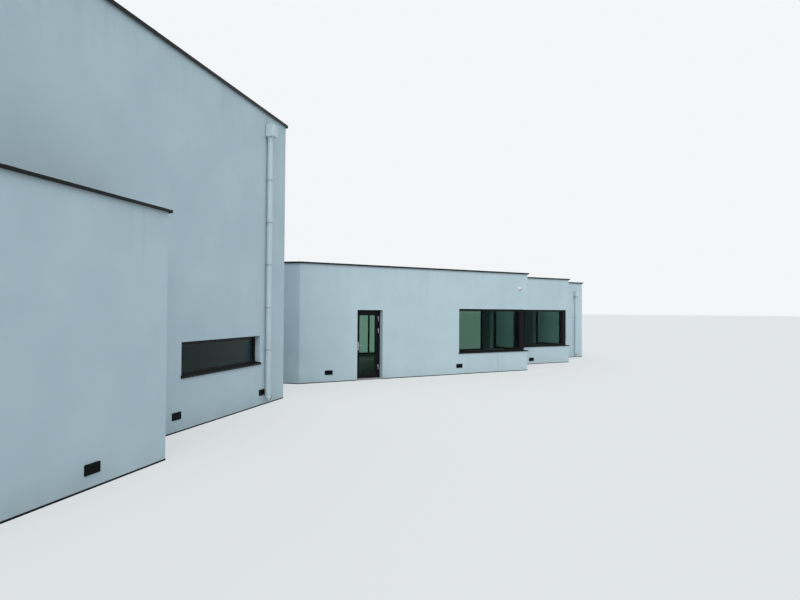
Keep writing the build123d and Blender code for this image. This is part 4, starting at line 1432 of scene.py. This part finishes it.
# The mouth rim is near-white as a painted highlight.
RIM_HIGHLIGHT_FINISH = painted_finish("rim_painted_highlight", RIM_PAINTED_HIGHLIGHT)
hoppers, bracket_rings, bracket_bolts, pipes, mouth_rims = [], [], [], [], []
brackets = places("pipe_brackets")
for axes, low, high in places("downpipes"):
    x = (low[0] + high[0]) / 2
    radius = (high[0] - low[0]) / 2
    pipes.append(pipe(axes, high[2], x, radius))
    mouth_rims.append(mouth_rim(axes, x, radius))
    hoppers += [hopper(*place, radius) for place in HOPPERS if place[0] is axes]
    for place in brackets:
        if place[0] is axes:
            bracket_rings += ring_bracket(*place, x, radius)
            bracket_bolts += ear_bolts(*place, x, radius)
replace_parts(made_piece("hoppers", hoppers, PIPE_FINISH, smooth=30), "rain_hoppers")
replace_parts(made_piece("pipes", pipes, PIPE_FINISH, smooth=30), "downpipes")
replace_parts(made_piece("bracket_rings", bracket_rings, BRACKET_SHADED_FINISH, smooth=30),
            "pipe_brackets")
made_piece("bracket_bolts", bracket_bolts, MILL, smooth=30)
made_piece("pipe_mouth_rims", mouth_rims, RIM_HIGHLIGHT_FINISH, smooth=30)

# Vents
# Black plastic covers over the underfloor vents: a frame with round corners, seven drooping louvres over
# a dark insect screen, and a screw in each corner.
VENT_RIM = 0.017
VENT_ROUND = 0.010
VENT_LOUVRES = 7
FIRST_LOUVRE = 0.4
SCREEN_FRONT = -0.0022
SCREEN_BACK = -0.0002


def plastic_finish(name, colour, roughness, dust, gloss=0.5):
    """Moulded plastic with a faint grain and dust on its ledges."""
    surface = Surface(name, roughness, patch_scale=7.0, grain_scale=600.0)
    surface.inputs["Specular IOR Level"].default_value = gloss
    lying = lying_dust(surface, steep=0.2, flat=0.9, amount=dust, bare=0.25, covered=0.6, least=0.5)
    surface.feed("Base Color", surface.blend(lying, colour, DUST))
    surface.bump(surface.grain, depth=0.0002)
    return surface.material


def louvre(x0, x1, z, axes):
    """Blade that falls outwards, with a thicker drip edge, in front of the screen."""
    section = [(-0.002, z + 0.011), (-0.009, z + 0.0035), (-0.0125, z - 0.004), (-0.0130, z - 0.0065),
               (-0.0118, z - 0.0065), (-0.0110, z - 0.004), (-0.0078, z + 0.002), (-0.002, z + 0.0085)]
    return run_along(section, x0, x1, axes)


def vent_cover(axes, low, high):
    """Frame and louvres of a vent cover, and its four pan-head screws."""
    x0, x1, z0, z1 = low[0], high[0], low[2], high[2]
    out, rim = low[1], VENT_RIM
    profile = [(0.0, 0.0), (0.0, out + 0.004), (0.0012, out + 0.0012), (0.004, out), (rim - 0.005, out),
               (rim - 0.002, out + 0.001), (rim, out + 0.004), (rim, 0.0)]
    screw = [(0.0045, out), (0.0040, out - 0.0014), (0.0025, out - 0.0020), (0.0010, out - 0.0021)]
    pitch = (z1 - z0 - 2 * rim) / VENT_LOUVRES
    parts = [plate(x0, x1, z0, z1, VENT_ROUND, profile, axes, True)]
    parts += [louvre(x0 + rim - TUCK, x1 - rim + TUCK, z0 + rim + (k + FIRST_LOUVRE) * pitch, axes)
              for k in range(VENT_LOUVRES)]
    parts += [turned_out(x, z, screw, axes, 20)
              for x in (x0 + rim / 2, x1 - rim / 2) for z in (z0 + rim / 2, z1 - rim / 2)]
    return parts


def vent_screen(axes, low, high):
    """Thin screen behind the louvres, its edges just under the cover's rim."""
    under = VENT_RIM - TUCK
    return bar(low[0] + under, high[0] - under, SCREEN_FRONT, SCREEN_BACK, low[2] + under,
               high[2] - under, axes)


VENT_FINISH = plastic_finish("vent_plastic", (0.003, 0.004, 0.005), roughness=0.5, dust=0.06, gloss=0.05)
SCREEN_FINISH = plastic_finish("vent_screen", (0.003, 0.003, 0.003), roughness=0.8, dust=0.05, gloss=0.1)
vents = places("vent_grilles")
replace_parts(made_piece("vent_covers", [part for place in vents for part in vent_cover(*place)], VENT_FINISH,
                       smooth=30), "vent_grilles")
made_piece("vent_screens", [vent_screen(*place) for place in vents], SCREEN_FINISH)

# Wall camera
# Small white security camera: a turned base on the wall, a ball in its socket, and a dark face that
# looks out and a little down.
CAMERA_BASE = 0.058
CAMERA_BALL = 0.046
CAMERA_REACH = 0.050
CAMERA_DROP = 0.015
CAMERA_LOOK = (0.09, -0.95, -0.31)
FACE_EDGE = 37
FACE_LAP = 6
FACE_BEHIND = 0.0035
COLLAR_EDGE = 31
COLLAR_BEHIND = 0.004
BALL_POLE = 4
FACE_POLE = 2


def ball(centre, radius, start, stop, count, axes, sides=40):
    """Part of a ball about its look: centre plus radius (cos a look + sin a across), a in degrees."""
    look = np.array(CAMERA_LOOK) / np.linalg.norm(CAMERA_LOOK)
    first = np.cross(look, (0, 0, 1))
    first /= np.linalg.norm(first)
    second = np.cross(look, first)
    turn = np.linspace(0, 2 * np.pi, sides, endpoint=False)[:, None]
    angles = np.radians(np.linspace(start, stop, count))[:, None, None]
    around = np.cos(turn) * first + np.sin(turn) * second
    return from_wall(np.array(centre) + radius * (np.cos(angles) * look + np.sin(angles) * around), axes)


camera_axes, camera_low, camera_high = places("wall_camera")[0]
camera_x = (camera_low[0] + camera_high[0]) / 2
camera_z = camera_high[2] - CAMERA_BASE
socket = [(CAMERA_BASE, 0.0), (CAMERA_BASE, -0.020), (CAMERA_BASE - 0.002, -0.027),
          (CAMERA_BASE - 0.007, -0.034), (CAMERA_BASE - 0.014, -0.038), (CAMERA_BASE - 0.020, -0.036),
          (CAMERA_BASE - 0.022, -0.030)]
ball_centre = (camera_x, -CAMERA_REACH, camera_z - CAMERA_DROP)
shell = ball(ball_centre, CAMERA_BALL, FACE_EDGE, 180 - BALL_POLE, 24, camera_axes)
collar = ball(ball_centre, CAMERA_BALL - COLLAR_BEHIND, FACE_EDGE, COLLAR_EDGE, 3, camera_axes)
face = ball(ball_centre, CAMERA_BALL - FACE_BEHIND, FACE_POLE, FACE_EDGE + FACE_LAP, 12, camera_axes)
camera_shell = made_piece("camera_shell", [turned_out(camera_x, camera_z, socket, camera_axes, 56),
                                           skin(np.concatenate([collar[::-1], shell]))],
                          plastic_finish("camera_white", (0.85, 0.86, 0.86), roughness=0.28, dust=0.20),
                          smooth=40)
made_piece("camera_face", [skin(face)],
           plastic_finish("camera_face", (0.006, 0.006, 0.007), roughness=0.08, dust=0.05),
           smooth=60)
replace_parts(camera_shell, "wall_camera")
